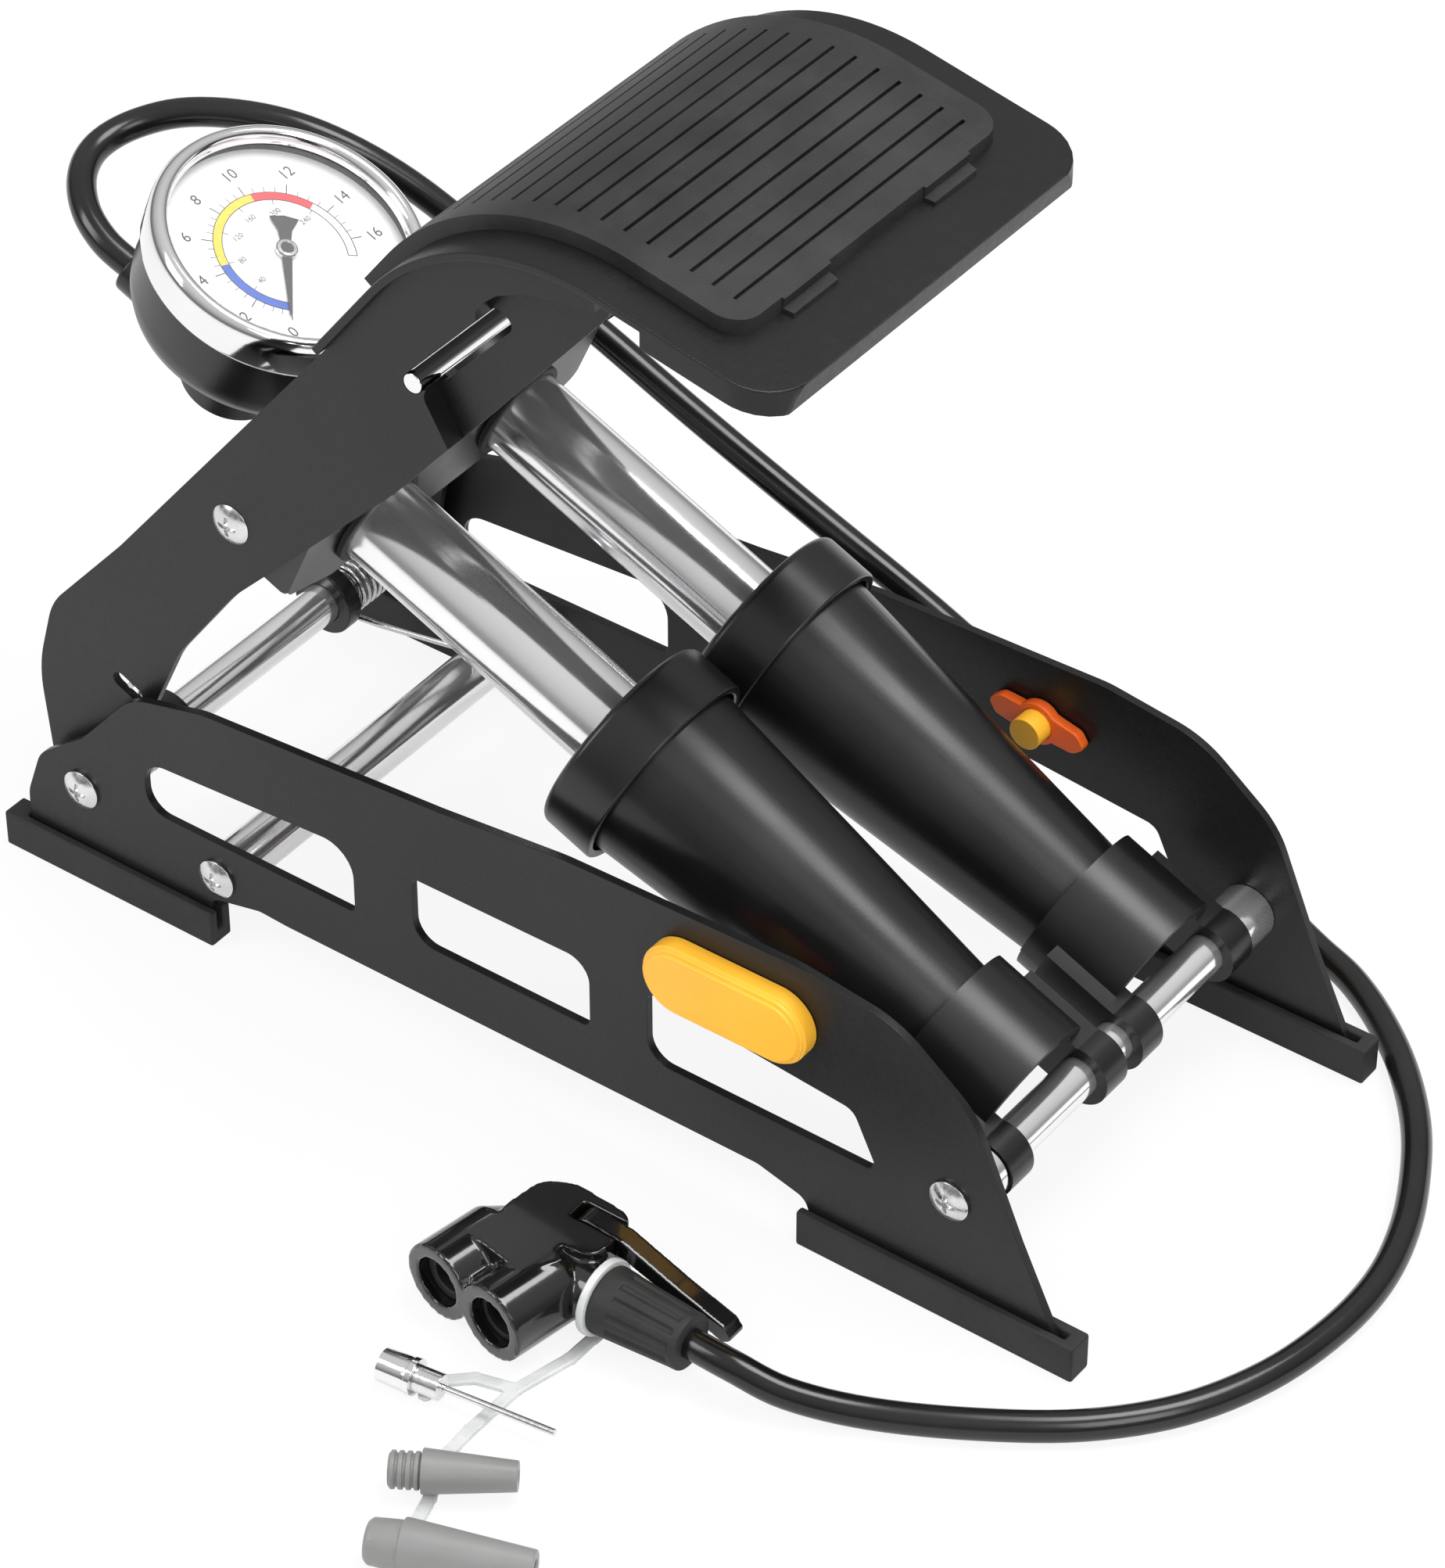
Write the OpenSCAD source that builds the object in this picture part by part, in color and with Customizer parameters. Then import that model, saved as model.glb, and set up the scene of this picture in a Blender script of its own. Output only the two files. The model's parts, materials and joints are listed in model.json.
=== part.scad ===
// Twin-cylinder foot pump with pressure gauge, hose, two-port valve head and adapters.
// Millimetres. +X runs from the heel end to the axle end, +Y to the far plate, +Z up.
// Origin: on the floor, midway between the rubber feet and midway between the side plates.

/* [Frame] */
// Overall length over the rubber feet
foot_span = 300; // [260:1:340]
// Clear width between the two side plates
plate_gap = 114.6; // [104:0.1:140]
// Side plate thickness
plate_t = 2; // [1.5:0.1:3]
// Length of each front foot
front_foot_len = 72; // [50:1:90]
// Length of each heel foot
heel_foot_len = 63; // [50:1:80]
// Width of the rubber feet
foot_w = 6.8; // [5:0.1:12]
// Height of the rubber feet
foot_h = 9.7; // [8:0.1:14]
// Depth of the slot that takes the side plate
foot_slot = 6; // [3:0.1:8]
// Diameter of the tube that the pedal turns on
hinge_d = 10; // [8:0.1:14]
// Diameter of the cross tube behind the heel feet
tie_d = 12; // [8:0.1:16]
// Diameter of the axle that the barrels turn on
axle_d = 9.6; // [7:0.1:12]
// Shank diameter of the frame screws
screw_d = 5; // [3:0.1:6]
// Head diameter of the frame screws
screw_head_d = 10; // [8:0.1:12]

/* [Pedal] */
// Sheet thickness of the pedal arms
arm_t = 2; // [1.5:0.1:3]
// Gap between each arm and its side plate
arm_gap = 3.3; // [2:0.1:6]
// Radius of the bend across the top of the pedal
deck_r = 60; // [45:1:70]
// Flat length from the bend to the toe edge
deck_front = 44; // [36:1:50]
// Gap between the folded deck and each side plate
deck_gap = 0.5; // [0.3:0.1:2]
// Depth of the turned-down rim
deck_rim = 4; // [3:0.1:7]
// Thickness of the rubber tread
tread_t = 3.5; // [2:0.1:5]
// Width of the rubber tread
tread_w = 93; // [70:1:100]
// Diameter of the storage pin across the arms
lock_pin_d = 4.8; // [4:0.1:6]
// Wire diameter of the return springs
spring_wire = 1.6; // [1.2:0.1:2]

/* [Pumps] */
// Distance of each cylinder from the middle
unit_y = 25; // [24.9:0.1:27]
// Outer diameter of the bright cylinders
cyl_d = 21.5; // [19:0.1:24]
// Wall of the bright cylinders
cyl_wall = 1; // [0.8:0.1:1.4]
// Length of the bright cylinders
cyl_len = 110; // [100:1:114]
// Diameter of the collars
collar_d = 49.4; // [44:0.1:49.6]
// Length of the collars
collar_len = 14; // [10:0.1:20]
// Barrel diameter below the collar
barrel_d1 = 45; // [40:0.1:47]
// Barrel diameter at the axle end
barrel_d2 = 30; // [26:0.1:34]
// Barrel wall
barrel_wall = 2.4; // [1.6:0.1:3]
// Diameter of the piston rods
rod_d = 6; // [5:0.1:8]
// Diameter of the end caps
cap_d = 36; // [34:0.1:40]
// Width of each fork ear
ear_w = 8; // [6:0.1:9]
// Diameter of each fork ear
ear_d = 15; // [13:0.1:18]

/* [Gauge] */
// Outer diameter of the gauge bezel
bezel_d = 65; // [60:0.5:68]
// Depth of the gauge cup below the bezel
cup_depth = 22; // [16:0.5:26]
// Hose outer diameter
hose_d = 7; // [6:0.1:8]

/* [Latch and valve head] */
// Length of the latch knob
knob_len = 43; // [34:1:48]
// Width of the latch knob
knob_w = 18; // [14:0.5:22]
// Depth of the latch knob
knob_t = 5.5; // [4:0.1:8]
// Span of the latch wing
wing_len = 26; // [20:0.5:28]
// Thickness of the latch wing
wing_t = 2.7; // [2:0.1:2.7]
// Distance between the two valve ports
port_pitch = 17; // [16:0.1:22]
// Barrel diameter of each valve port
port_d = 18.5; // [14:0.1:19]

/* [Hidden] */
$fn = 64;
slack = 0.3;     // between pieces on different bodies
run = 0.05;      // radial running fit
half_gap = plate_gap / 2;
plate_out = half_gap + plate_t;
plate_mid = half_gap + plate_t / 2;
arm_out = half_gap - arm_gap;
arm_in = arm_out - arm_t;
foot_x = foot_span / 2;
tab_z = foot_h - foot_slot;   // bottom edge of the plates, down in the feet

// Pivots in side view, [x, z]
hinge = [-126.3, 26.5];
tie = [-86.1, 19.8];
axle = [116.5, 33];
pivot = [-80, 120];
latch = [60, 61];
latch_stem_d = 8;
lock_pin_at = [-27, 180];
stroke = axle - pivot;
reach = norm(stroke);                     // pivot to axle, along a cylinder
tilt = atan2(-stroke[1], stroke[0]);      // cylinders slope down towards the axle
fold = 44;                                // pedal travel in degrees
pin_d = 7;                                // pedal pins that carry the head

// How far those pins drift in the head between rest and full press, [along, across]
function turned(v, a) = [v[0] * cos(a) + v[1] * sin(a), v[1] * cos(a) - v[0] * sin(a)];
pressed = hinge + turned(pivot - hinge, fold);
swing = tilt - atan2(pressed[1] - axle[1], axle[0] - pressed[0]);
push = reach - norm(axle - pressed);
function drift(t) = let (
    off = hinge + turned(pivot - hinge, fold * t) - axle
      + (reach - push * t) * turned(stroke / reach, -swing * t),
    v = turned(off, swing * t))
  [v * stroke / reach, v * [-stroke[1], stroke[0]] / reach];
pin_slot = [for (k = [0, 1]) 0.2 + max([for (t = [0:0.05:1]) drift(t)[k]])];
echo("pin drift", pin_slot, "cylinder swing", swing, "cylinder travel", push);

// Along a cylinder, measured from the pedal pivot
head_front = 18;
cyl_start = 4;
cyl_end = cyl_start + cyl_len;
collar_at = 90.8;
cap_at = 186;
cap_len = 15;
piston_at = 80;
piston_len = 7;
cyl_in_d = cyl_d - 2 * cyl_wall;
seal_at = 2.4;              // seal groove in the piston
seal_w = 2.2;
seal_in_d = cyl_in_d - 5;

// Gauge, in the same frame: x along the cylinders, z square to them
gauge_x = -37.5;
dial_z = 17;
bezel_z = 13;
bezel_h = 10.5;
cup_d = bezel_d - 3;
cup_wall = 2;
lens_z = dial_z + 1.8;
port_z = -23;       // level of the hose outlet
nut_end = -70.7;    // where the hose leaves
nut_len = 15;
cup_floor = bezel_z - cup_depth;
zero_turn = -45;    // needle at rest

// Valve head on the floor
head_x = 41;
head_y = -109.5;
head_z = 10;
head_len = 35;
head_turn = -10;    // how far the ports are turned on the floor
lever_at = [head_x + 9, head_z + 5.5];
lever_y = -96.6;
lever_w = 4.8;
relief_y = -107.5;
relief_x = [62, 84];

// ---- helpers ----

function unit(v) = v / norm(v);

// Points of an arc of radius r that rounds the corner b between a and c
function corner(a, b, c, r, n = 8) =
  r <= 0 ? [b] :
  let (u = unit(a - b), v = unit(c - b), half = acos(u * v) / 2,
       t = min(r / tan(half), 0.49 * norm(a - b), 0.49 * norm(c - b)), q = t * tan(half),
       m = b + unit(u + v) * q / sin(half))
  [for (i = [0:n]) m + q * unit((b + u * t - m) * (1 - i / n) + (b + v * t - m) * i / n)];

// Outline with rounded corners from [x, z, corner radius]
function rounded(p) = [
  for (i = [0:len(p) - 1])
    let (a = p[(i + len(p) - 1) % len(p)], b = p[i], c = p[(i + 1) % len(p)])
      each corner([a[0], a[1]], [b[0], b[1]], [c[0], c[1]], b[2])
];

// Side-view outline made t thick, from y upwards
module slab(y, t) translate([0, y + t, 0]) rotate([90, 0, 0]) linear_extrude(t) children();

// The same piece on both sides of the middle
module both_sides() {
  children();
  mirror([0, 1, 0]) children();
}

// Rod or hole along Y through a side-view point
module cross(at, d, y0, y1)
  translate([at[0], y1, at[1]]) rotate([90, 0, 0]) cylinder(d = d, h = y1 - y0);

// x along the cylinders from the pedal pivot, z square to them
module pump_frame() translate([pivot[0], 0, pivot[1]]) rotate([0, tilt, 0]) children();

// Solid along a cylinder's axis
module along(x0, x1, d1, d2 = 0, y = 0)
  translate([x0, y, 0]) rotate([0, 90, 0]) cylinder(d1 = d1, d2 = d2 == 0 ? d1 : d2, h = x1 - x0);

module gauge_frame() pump_frame() translate([gauge_x, 0, 0]) children();

// Cross-recessed pan head, standing on z = 0
module pan_head(d, h) difference() {
  intersection() {
    cylinder(d = d, h = h);
    translate([0, 0, h - d * 0.85]) sphere(r = d * 0.85);
  }
  for (a = [0, 90]) rotate([0, 0, a]) translate([-d / 4, -0.5, h - 1.2]) cube([d / 2, 1, 2]);
}

// Smooth path through points: Catmull-Rom with n rings a stretch
function spline_at(a, b, c, d, t) =
  0.5 * (2 * b + (c - a) * t + (2 * a - 5 * b + 4 * c - d) * t * t
         + (3 * b - a - 3 * c + d) * t * t * t);
function smooth_path(p, n) = let (k = len(p) - 1) [
  for (i = [0:k - 1], j = [0:n - 1])
    spline_at(p[max(i - 1, 0)], p[i], p[i + 1], p[min(i + 2, k)], j / n),
  p[k]
];

// Round tube of radius r swept along the points
function frames(p, i = 0, side = undef) =
  i >= len(p) ? [] :
  let (d = unit(p[min(i + 1, len(p) - 1)] - p[max(i - 1, 0)]),
       s0 = is_undef(side) ? (abs(d[2]) < 0.9 ? [0, 0, 1] : [0, 1, 0]) : side,
       s = unit(s0 - (s0 * d) * d))
  concat([[s, cross(d, s)]], frames(p, i + 1, s));

module swept_tube(p, r, sides) {
  f = frames(p);
  n = len(p);
  polyhedron(
    points = [for (i = [0:n - 1], k = [0:sides - 1])
      p[i] + r * (cos(360 * k / sides) * f[i][0] + sin(360 * k / sides) * f[i][1])],
    faces = concat(
      [[for (k = [sides - 1:-1:0]) k]],
      [for (i = [0:n - 2], k = [0:sides - 1]) let (a = i * sides, m = (k + 1) % sides)
        each [[a + k, a + m, a + sides + m], [a + k, a + sides + m, a + sides + k]]],
      [[for (k = [0:sides - 1]) (n - 1) * sides + k]]));
}

// ---- side plates and feet ----

function plate_outline() = rounded([
  [-foot_x + 6, tab_z, 1], [-foot_x + 6.5, 18, 10], [-139, 31, 10], [-125, 42, 4],
  [-109, 61, 16], [-88, 66.5, 18], [-20, 71.7, 60], [14, 75.4, 60], [76, 77.2, 30],
  [101, 74, 26], [121.5, 58.5, 24], [134, 29, 40], [foot_x - 4, tab_z, 0.5],
  [foot_x - front_foot_len + 3, tab_z, 0.5], [foot_x - front_foot_len + 1, 12, 4],
  [66, 15.4, 8], [-66, 15.4, 10], [-74, 15.8, 6], [-foot_x + heel_foot_len - 1, 12.5, 4],
  [-foot_x + heel_foot_len - 4, tab_z, 0.5]
]);

window_rear = [[-106.5, 30.1, 6], [-106.5, 44.4, 6.5], [-45.4, 48.5, 8], [-45.4, 30.1, 1.5]];
window_mid = [[-28.5, 30.8, 6], [-28.5, 48.8, 2], [20.7, 49.4, 6], [20.7, 30.8, 2]];
window_front = [[36.5, 30.2, 6], [36.5, 49.4, 2], [91, 44.6, 4], [97.8, 30.2, 2]];

module side_plate() difference() {
  slab(-plate_out, plate_t) polygon(plate_outline());
  for (w = [window_rear, window_mid, window_front])
    slab(-plate_out - 1, plate_t + 2) polygon(rounded(w));
  for (p = [hinge, tie, axle]) cross(p, screw_d + 2 * run, -plate_out - 1, -half_gap + 1);
  cross(latch, latch_stem_d + 2 * run, -plate_out - 1, -half_gap + 1);
}

module side_plate_near() color("#1c1d1f") side_plate();
module side_plate_far() color("#1c1d1f") mirror([0, 1, 0]) side_plate();

// Foot from x0 to x1 on the near plate, slotted for it
module foot(x0, x1, slot0, slot1) difference() {
  translate([x0, -plate_mid - foot_w / 2, 0]) cube([x1 - x0, foot_w, foot_h]);
  translate([slot0, -plate_out, tab_z]) cube([slot1 - slot0, plate_t, foot_h]);
}

module foot_heel_near() color("#141414")
  foot(-foot_x, -foot_x + heel_foot_len, -foot_x + 5.5, -foot_x + heel_foot_len + 1);
module foot_heel_far() mirror([0, 1, 0]) foot_heel_near();
module foot_front_near() color("#141414")
  foot(foot_x - front_foot_len, foot_x, foot_x - front_foot_len - 1, foot_x - 3.5);
module foot_front_far() mirror([0, 1, 0]) foot_front_near();

// ---- cross members ----

module cross_member(at, d) difference() {
  cross(at, d, -half_gap, half_gap);
  cross(at, screw_d + 2 * run, -half_gap - 1, half_gap + 1);
}

module hinge_tube() color("#c9ccd0") cross_member(hinge, hinge_d);
module tie_tube() color("#c9ccd0") cross_member(tie, tie_d);
module front_axle() color("#c9ccd0") cross_member(axle, axle_d);

// Bright bushes that keep the fork ears off the plates
module axle_bushes() color("#c9ccd0") both_sides() difference() {
  cross(axle, axle_d + 4, -half_gap, -unit_y - 18 - ear_w / 2 - slack);
  cross(axle, axle_d + 2 * run, -half_gap - 1, -unit_y);
}

module frame_screws() color("#d5d7da") both_sides() for (p = [hinge, tie, axle]) {
  translate([p[0], -plate_out, p[1]]) rotate([90, 0, 0]) pan_head(screw_head_d, 2.4);
  cross(p, screw_d, -plate_out, -half_gap + 22);
}

module hinge_spacers() color("#17181a") both_sides() difference() {
  cross(hinge, hinge_d + 6, -half_gap, -arm_out - slack);
  cross(hinge, hinge_d + 2 * run, -half_gap - 1, -arm_in);
}

// ---- return springs ----

coil_r = hinge_d / 2 + spring_wire / 2 + 0.5;
coil_turns = 6;
coil_pitch = spring_wire + 0.45;
coil_y = 34;
slot_at = [-114.5, 58.5];           // where the wire hooks into the arm
coil_span = coil_turns * 360 + 135;

function coil_point(a) = [
  hinge[0] + coil_r * cos(-90 - a), coil_y + coil_pitch * a / 360,
  hinge[1] + coil_r * sin(-90 - a)];
function spring_points() = concat(
  [[tie[0] + 8, coil_y - 0.6, tie[1] + (tie_d + spring_wire) / 2 + 0.8]],
  [[tie[0], coil_y - 0.5, tie[1] + (tie_d + spring_wire) / 2 + 0.3]],
  [[hinge[0] + 12, coil_y - 0.2, hinge[1] - coil_r + 1.4]],
  [for (a = [0:45:coil_span]) coil_point(a)],
  [[slot_at[0] - 3, coil_point(coil_span)[1] + 0.3, slot_at[1] - 9],
   [slot_at[0] - 0.5, coil_point(coil_span)[1] + 0.8, slot_at[1] - 1.5],
   [slot_at[0], coil_point(coil_span)[1] + 3, slot_at[1]],
   [slot_at[0], arm_in + 1.2, slot_at[1]]]);

// Least distance between turns that follow each other, less the wire
coil_gap = min([for (a = [0:45:coil_span - 360], b = [315:45:405])
  if (a + b <= coil_span) norm(coil_point(a) - coil_point(a + b))]) - spring_wire;
echo("least gap between spring turns", coil_gap);

module return_spring_far() color("#9a9da1") swept_tube(spring_points(), spring_wire / 2, 6);
module return_spring_near() mirror([0, 1, 0]) return_spring_far();

// Black collars that keep the coils in place on the hinge tube
module spring_bushes() color("#17181a") both_sides() difference() {
  cross(hinge, hinge_d + 7, -coil_y + 2, -coil_y + 6.5);
  cross(hinge, hinge_d + 2 * run, -coil_y - 1, -coil_y + 9);
}

// ---- latches ----

module stadium(len, w) {
  for (s = [-1, 1]) translate([s * (len - w) / 2, 0]) circle(d = w);
  square([len - w, w], center = true);
}

module latch_knob() {
  translate([latch[0], -plate_out - slack / 3, latch[1]]) rotate([90, 0, 0]) {
    linear_extrude(knob_t - 1.5) stadium(knob_len, knob_w);
    translate([0, 0, knob_t - 1.5]) linear_extrude(0.8) stadium(knob_len - 1, knob_w - 1);
    translate([0, 0, knob_t - 0.7]) linear_extrude(0.7) stadium(knob_len - 3, knob_w - 3);
  }
  cross(latch, latch_stem_d, -plate_out - 1, -half_gap + 7.6);
}

// Curved two-bladed wing behind the plate
module latch_wing() difference() {
  slab(-half_gap + slack, wing_t) translate(latch) {
    circle(d = 11);
    for (s = [0, 180]) rotate(s)
      translate([wing_len / 4, 1.2]) polygon(rounded([
        [-wing_len / 4, -4.4, 0], [wing_len / 4 - 3, -5.2, 3], [wing_len / 4, -2.6, 1.4],
        [wing_len / 4 - 2, 0.6, 2.5], [0, 1.6, 6], [-wing_len / 4, 3.4, 0]]));
  }
  cross(latch, latch_stem_d + run, -half_gap, -half_gap + 12);
}

module latch_knob_near() color("#f2a51e") latch_knob();
module latch_knob_far() color("#f2a51e") mirror([0, 1, 0]) latch_knob();
module latch_wing_near() color("#d8431c") latch_wing();
module latch_wing_far() color("#d8431c") mirror([0, 1, 0]) latch_wing();

// ---- pedal ----

deck_mid = [12.2, 165.4];      // centre of the bend
deck_rear_turn = -53;
deck_front_turn = 11.5;
deck_rear = 27;
deck_half = half_gap - deck_gap;

// Side view of the deck's surface, sunk below the top by off; cut shortens its two ends
function deck_line(off, cut = 0) = let (r = deck_r - off, a0 = deck_rear_turn, a1 = deck_front_turn)
  concat(
    [deck_mid + r * [sin(a0), cos(a0)] - (deck_rear - cut) * [cos(a0), -sin(a0)]],
    [for (i = [0:24]) let (a = a0 + (a1 - a0) * i / 24) deck_mid + r * [sin(a), cos(a)]],
    [deck_mid + r * [sin(a1), cos(a1)] + (deck_front - cut) * [cos(a1), -sin(a1)]]);

function reversed(p) = [for (i = [len(p) - 1:-1:0]) p[i]];
function deck_band(top, bottom, cut = 0) =
  concat(deck_line(top, cut), reversed(deck_line(bottom, cut)));

// Plan outline of the deck, rounded at the toe
module deck_plan(inset) linear_extrude(400) polygon(rounded([
  [-70, -deck_half + inset, 0], [deck_toe[0] - inset, -deck_half + inset, 12 - inset],
  [deck_toe[0] - inset, deck_half - inset, 12 - inset], [-70, deck_half - inset, 0]]));
deck_toe = deck_line(0)[len(deck_line(0)) - 1];

module pedal_deck() color("#1f2022") intersection() {
  union() {
    slab(-deck_half, 2 * deck_half) polygon(deck_band(0, arm_t));
    difference() {
      slab(-deck_half, 2 * deck_half) polygon(deck_band(arm_t / 2, arm_t + deck_rim));
      deck_plan(arm_t);
      translate([-100, -200, 0]) cube([100 + deck_mid[0] + 22, 400, 300]);
    }
  }
  deck_plan(0);
}

// One arm: a pressed sheet with a recessed pocket towards the toe
arm_back = [[-127, 15.5, 10], [-138.5, 17, 9], [-141.8, 52, 40], [-136, 73, 22],
  [-113.5, 99, 60]];
arm_front = [[21, 214, 4], [-33, 149, 30], [-80.5, 100, 60], [-98, 76, 30], [-108, 54, 12],
  [-114, 26, 9], [-118, 15.5, 6]];
pocket = [[-24.5, 178, 3], [-9.5, 200.5, 4], [-9.5, 206.5, 4], [-4, 211.5, 4], [4, 215.2, 6],
  [30, 219, 0], [30, 190, 0], [-10, 160, 0], [-16, 163.6, 0]];
pocket_depth = 5;
slit_len = 29;
slit_turn = 48;

function arm_shape() = concat(
  [for (i = [0:len(arm_back) - 1])
    let (all = concat([arm_front[len(arm_front) - 1]], arm_back, [deck_line(arm_t)[0]]))
      each corner(xz(all[i]), xz(all[i + 1]), xz(all[i + 2]), arm_back[i][2])],
  [for (p = deck_line(arm_t)) if (p[0] < 22) p],
  [for (i = [0:len(arm_front) - 1])
    let (all = concat([[21, 224]], arm_front, [arm_back[0]]))
      each corner(xz(all[i]), xz(all[i + 1]), xz(all[i + 2]), arm_front[i][2])]);
function xz(p) = [p[0], p[1]];

module arm() difference() {
  union() {
    difference() {
      slab(-arm_out, arm_t) polygon(arm_shape());
      slab(-arm_out - 1, arm_t + 2) polygon(rounded(pocket));
    }
    // pocket floor and its walls
    intersection() {
      slab(-arm_out, arm_t + pocket_depth) polygon(arm_shape());
      union() {
        slab(-arm_out + pocket_depth, arm_t) polygon(rounded(pocket));
        difference() {
          slab(-arm_out, arm_t + pocket_depth) polygon(rounded(grown(pocket, 1.6)));
          slab(-arm_out - 1, arm_t + pocket_depth + 2) polygon(rounded(pocket));
        }
      }
    }
  }
  cross(hinge, hinge_d + 2 * run, -arm_out - 1, -arm_in + 1);
  cross(pivot, pin_d + 2 * run, -arm_out - 1, -arm_in + 1);
  cross(lock_pin_at, lock_pin_d + 2 * run, -arm_out - 1, -arm_out + pocket_depth + arm_t + 1);
  // slit along the pocket, through which the pin shows
  slab(-arm_out - 1, arm_t + pocket_depth + 3) {
    translate(lock_pin_at) rotate(slit_turn) translate([slit_len / 2, 0])
      stadium(slit_len + lock_pin_d + 2 * run, lock_pin_d + 2 * run);
    translate(lock_pin_at) rotate(slit_turn) translate([slit_len / 2 + 2, -1.2])
      stadium(slit_len + 1, lock_pin_d);
  }
  translate([slot_at[0], -arm_out + arm_t + 1, slot_at[1]]) rotate([90, 0, 0])
    linear_extrude(arm_t + 2) rotate(-25) stadium(9, 4);
}
function grown(p, by) = [for (i = [0:len(p) - 1]) let (
    a = xz(p[(i + len(p) - 1) % len(p)]), b = xz(p[i]), c = xz(p[(i + 1) % len(p)]),
    u = unit(b - a), v = unit(c - b), nu = [-u[1], u[0]], nv = [-v[1], v[0]],
    q = b + (nu + nv) * by / (1 + nu * nv))
  [q[0], q[1], p[i][2] > 0 ? p[i][2] + by : 0]];

module arm_near() color("#1f2022") arm();
module arm_far() color("#1f2022") mirror([0, 1, 0]) arm();

module lock_pin() color("#d5d7da") cross(lock_pin_at, lock_pin_d, -arm_out, arm_out);

// Shouldered pins that carry the pump head, with cross-recessed heads
module pivot_pins() color("#d5d7da") both_sides() {
  cross(pivot, pin_d, -arm_out, -arm_in + 7);
  translate([pivot[0], -arm_out, pivot[1]]) rotate([90, 0, 0]) pan_head(10, 1.8);
}

// Ribbed rubber tread that follows the bend
groove_count = 18;
groove_pitch = 5.5;
module tread_pad() color("#161617") difference() {
  intersection() {
    union() {
      slab(-tread_w / 2, tread_w) polygon(deck_band(-tread_t, 0, 16));
      slab(-tread_w / 2 + 14, 16) polygon(deck_band(-1, 0, 12));
      slab(tread_w / 2 - 30, 16) polygon(deck_band(-1, 0, 12));
    }
    linear_extrude(400) polygon(rounded([
      [-60, -tread_w / 2, 0], [deck_toe[0] - 15.7, -tread_w / 2, 7],
      [deck_toe[0] - 15.7, -tread_w / 2 + 14, 0], [deck_toe[0] - 13, -tread_w / 2 + 14.5, 0],
      [deck_toe[0] - 13, -tread_w / 2 + 29.5, 0], [deck_toe[0] - 15.7, -tread_w / 2 + 30, 0],
      [deck_toe[0] - 15.7, tread_w / 2 - 30, 0], [deck_toe[0] - 13, tread_w / 2 - 29.5, 0],
      [deck_toe[0] - 13, tread_w / 2 - 14.5, 0], [deck_toe[0] - 15.7, tread_w / 2 - 14, 0],
      [deck_toe[0] - 15.7, tread_w / 2, 7], [-60, tread_w / 2, 0]]));
  }
  for (i = [0:groove_count - 1]) {
    // distance along the surface from the rear end of the bend
    arc = deck_r * (deck_front_turn - deck_rear_turn) * PI / 180;
    s = arc + deck_front - 16 - 7 - i * groove_pitch;
    a = deck_rear_turn + min(max(s, 0), arc) / deck_r * 180 / PI;
    p = deck_mid + (deck_r + tread_t) * [sin(a), cos(a)]
      + (max(s - arc, 0) + min(s, 0)) * [cos(a), -sin(a)];
    translate([p[0], 0, p[1]]) rotate([0, a, 0]) cube([0.9, tread_w - 13, 2.4], center = true);
  }
}

// ---- pump head, cylinders and barrels ----

// Slot in which the pedal pins drift as the pedal goes down
module pin_slot_cut(y0, y1) rotate([0, -atan2(pin_slot[1], pin_slot[0]), 0]) {
  for (x = [0, norm(pin_slot)])
    translate([x, y1, 0]) rotate([90, 0, 0]) cylinder(d = pin_d + 2.6, h = y1 - y0);
  translate([0, y0, -pin_d / 2 - 1.3]) cube([norm(pin_slot), y1 - y0, pin_d + 2.6]);
}

// Casting that holds both cylinders and joins them to the stem
module pump_head() color("#131314") pump_frame() difference() {
  union() {
    for (s = [-1, 1]) along(-4, head_front - 2, cyl_d + 7, y = s * unit_y);
    translate([-4, -unit_y, -9]) cube([head_front, 2 * unit_y, 18]);
    // flange that the cylinders come out of
    slab_x(head_front - 5, head_front) polygon(rounded([
        [-arm_in + slack, -9, 4], [-unit_y - 8, -16, 8], [unit_y + 8, -16, 8],
        [arm_in - slack, -9, 4], [arm_in - slack, 12, 4],
        [unit_y + 8, 16, 8], [5, 13.5, 4], [-5, 13.5, 4], [-unit_y - 8, 16, 8],
        [-arm_in + slack, 12, 4]]));
    // ears outside the cylinders, one for each pedal pin
    both_sides() slab(-arm_in + slack, 7.4) polygon(rounded([
      [-8, -9, 5], [head_front, -9, 2], [head_front, 12, 3], [12.5, 18, 5], [-1, 18, 6],
      [-8.5, 4, 6]]));
    both_sides() translate([-4, -arm_in + 4, -9]) cube([head_front + 4 - 2, arm_in - 4 - unit_y, 14]);
  }
  for (s = [-1, 1]) {
    along(cyl_start, head_front + 1, cyl_d + 2 * run, y = s * unit_y);
    along(-2, cyl_start + 1, 8, y = s * unit_y);
  }
  // air way across both cylinders
  translate([0, unit_y, 0]) rotate([90, 0, 0]) cylinder(d = 4, h = 2 * unit_y);
  both_sides() pin_slot_cut(-arm_in - 1, -arm_in + slack + 7.6);
}
module slab_x(x0, x1) translate([x0, 0, 0]) rotate([90, 0, 90]) linear_extrude(x1 - x0) children();

// Flap valves seated at the head end of each cylinder
module check_valves() color("#2b2b2d") pump_frame() for (s = [-1, 1])
  along(cyl_start, cyl_start + 1.2, cyl_in_d - 1, y = s * unit_y);

module cylinder_unit(s) pump_frame() difference() {
  along(cyl_start, cyl_end, cyl_d, y = s * unit_y);
  along(cyl_start - 1, cyl_end + 1, cyl_in_d, y = s * unit_y);
}
module cylinder_near() color("#dfe1e4") cylinder_unit(-1);
module cylinder_far() color("#dfe1e4") cylinder_unit(1);

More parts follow.
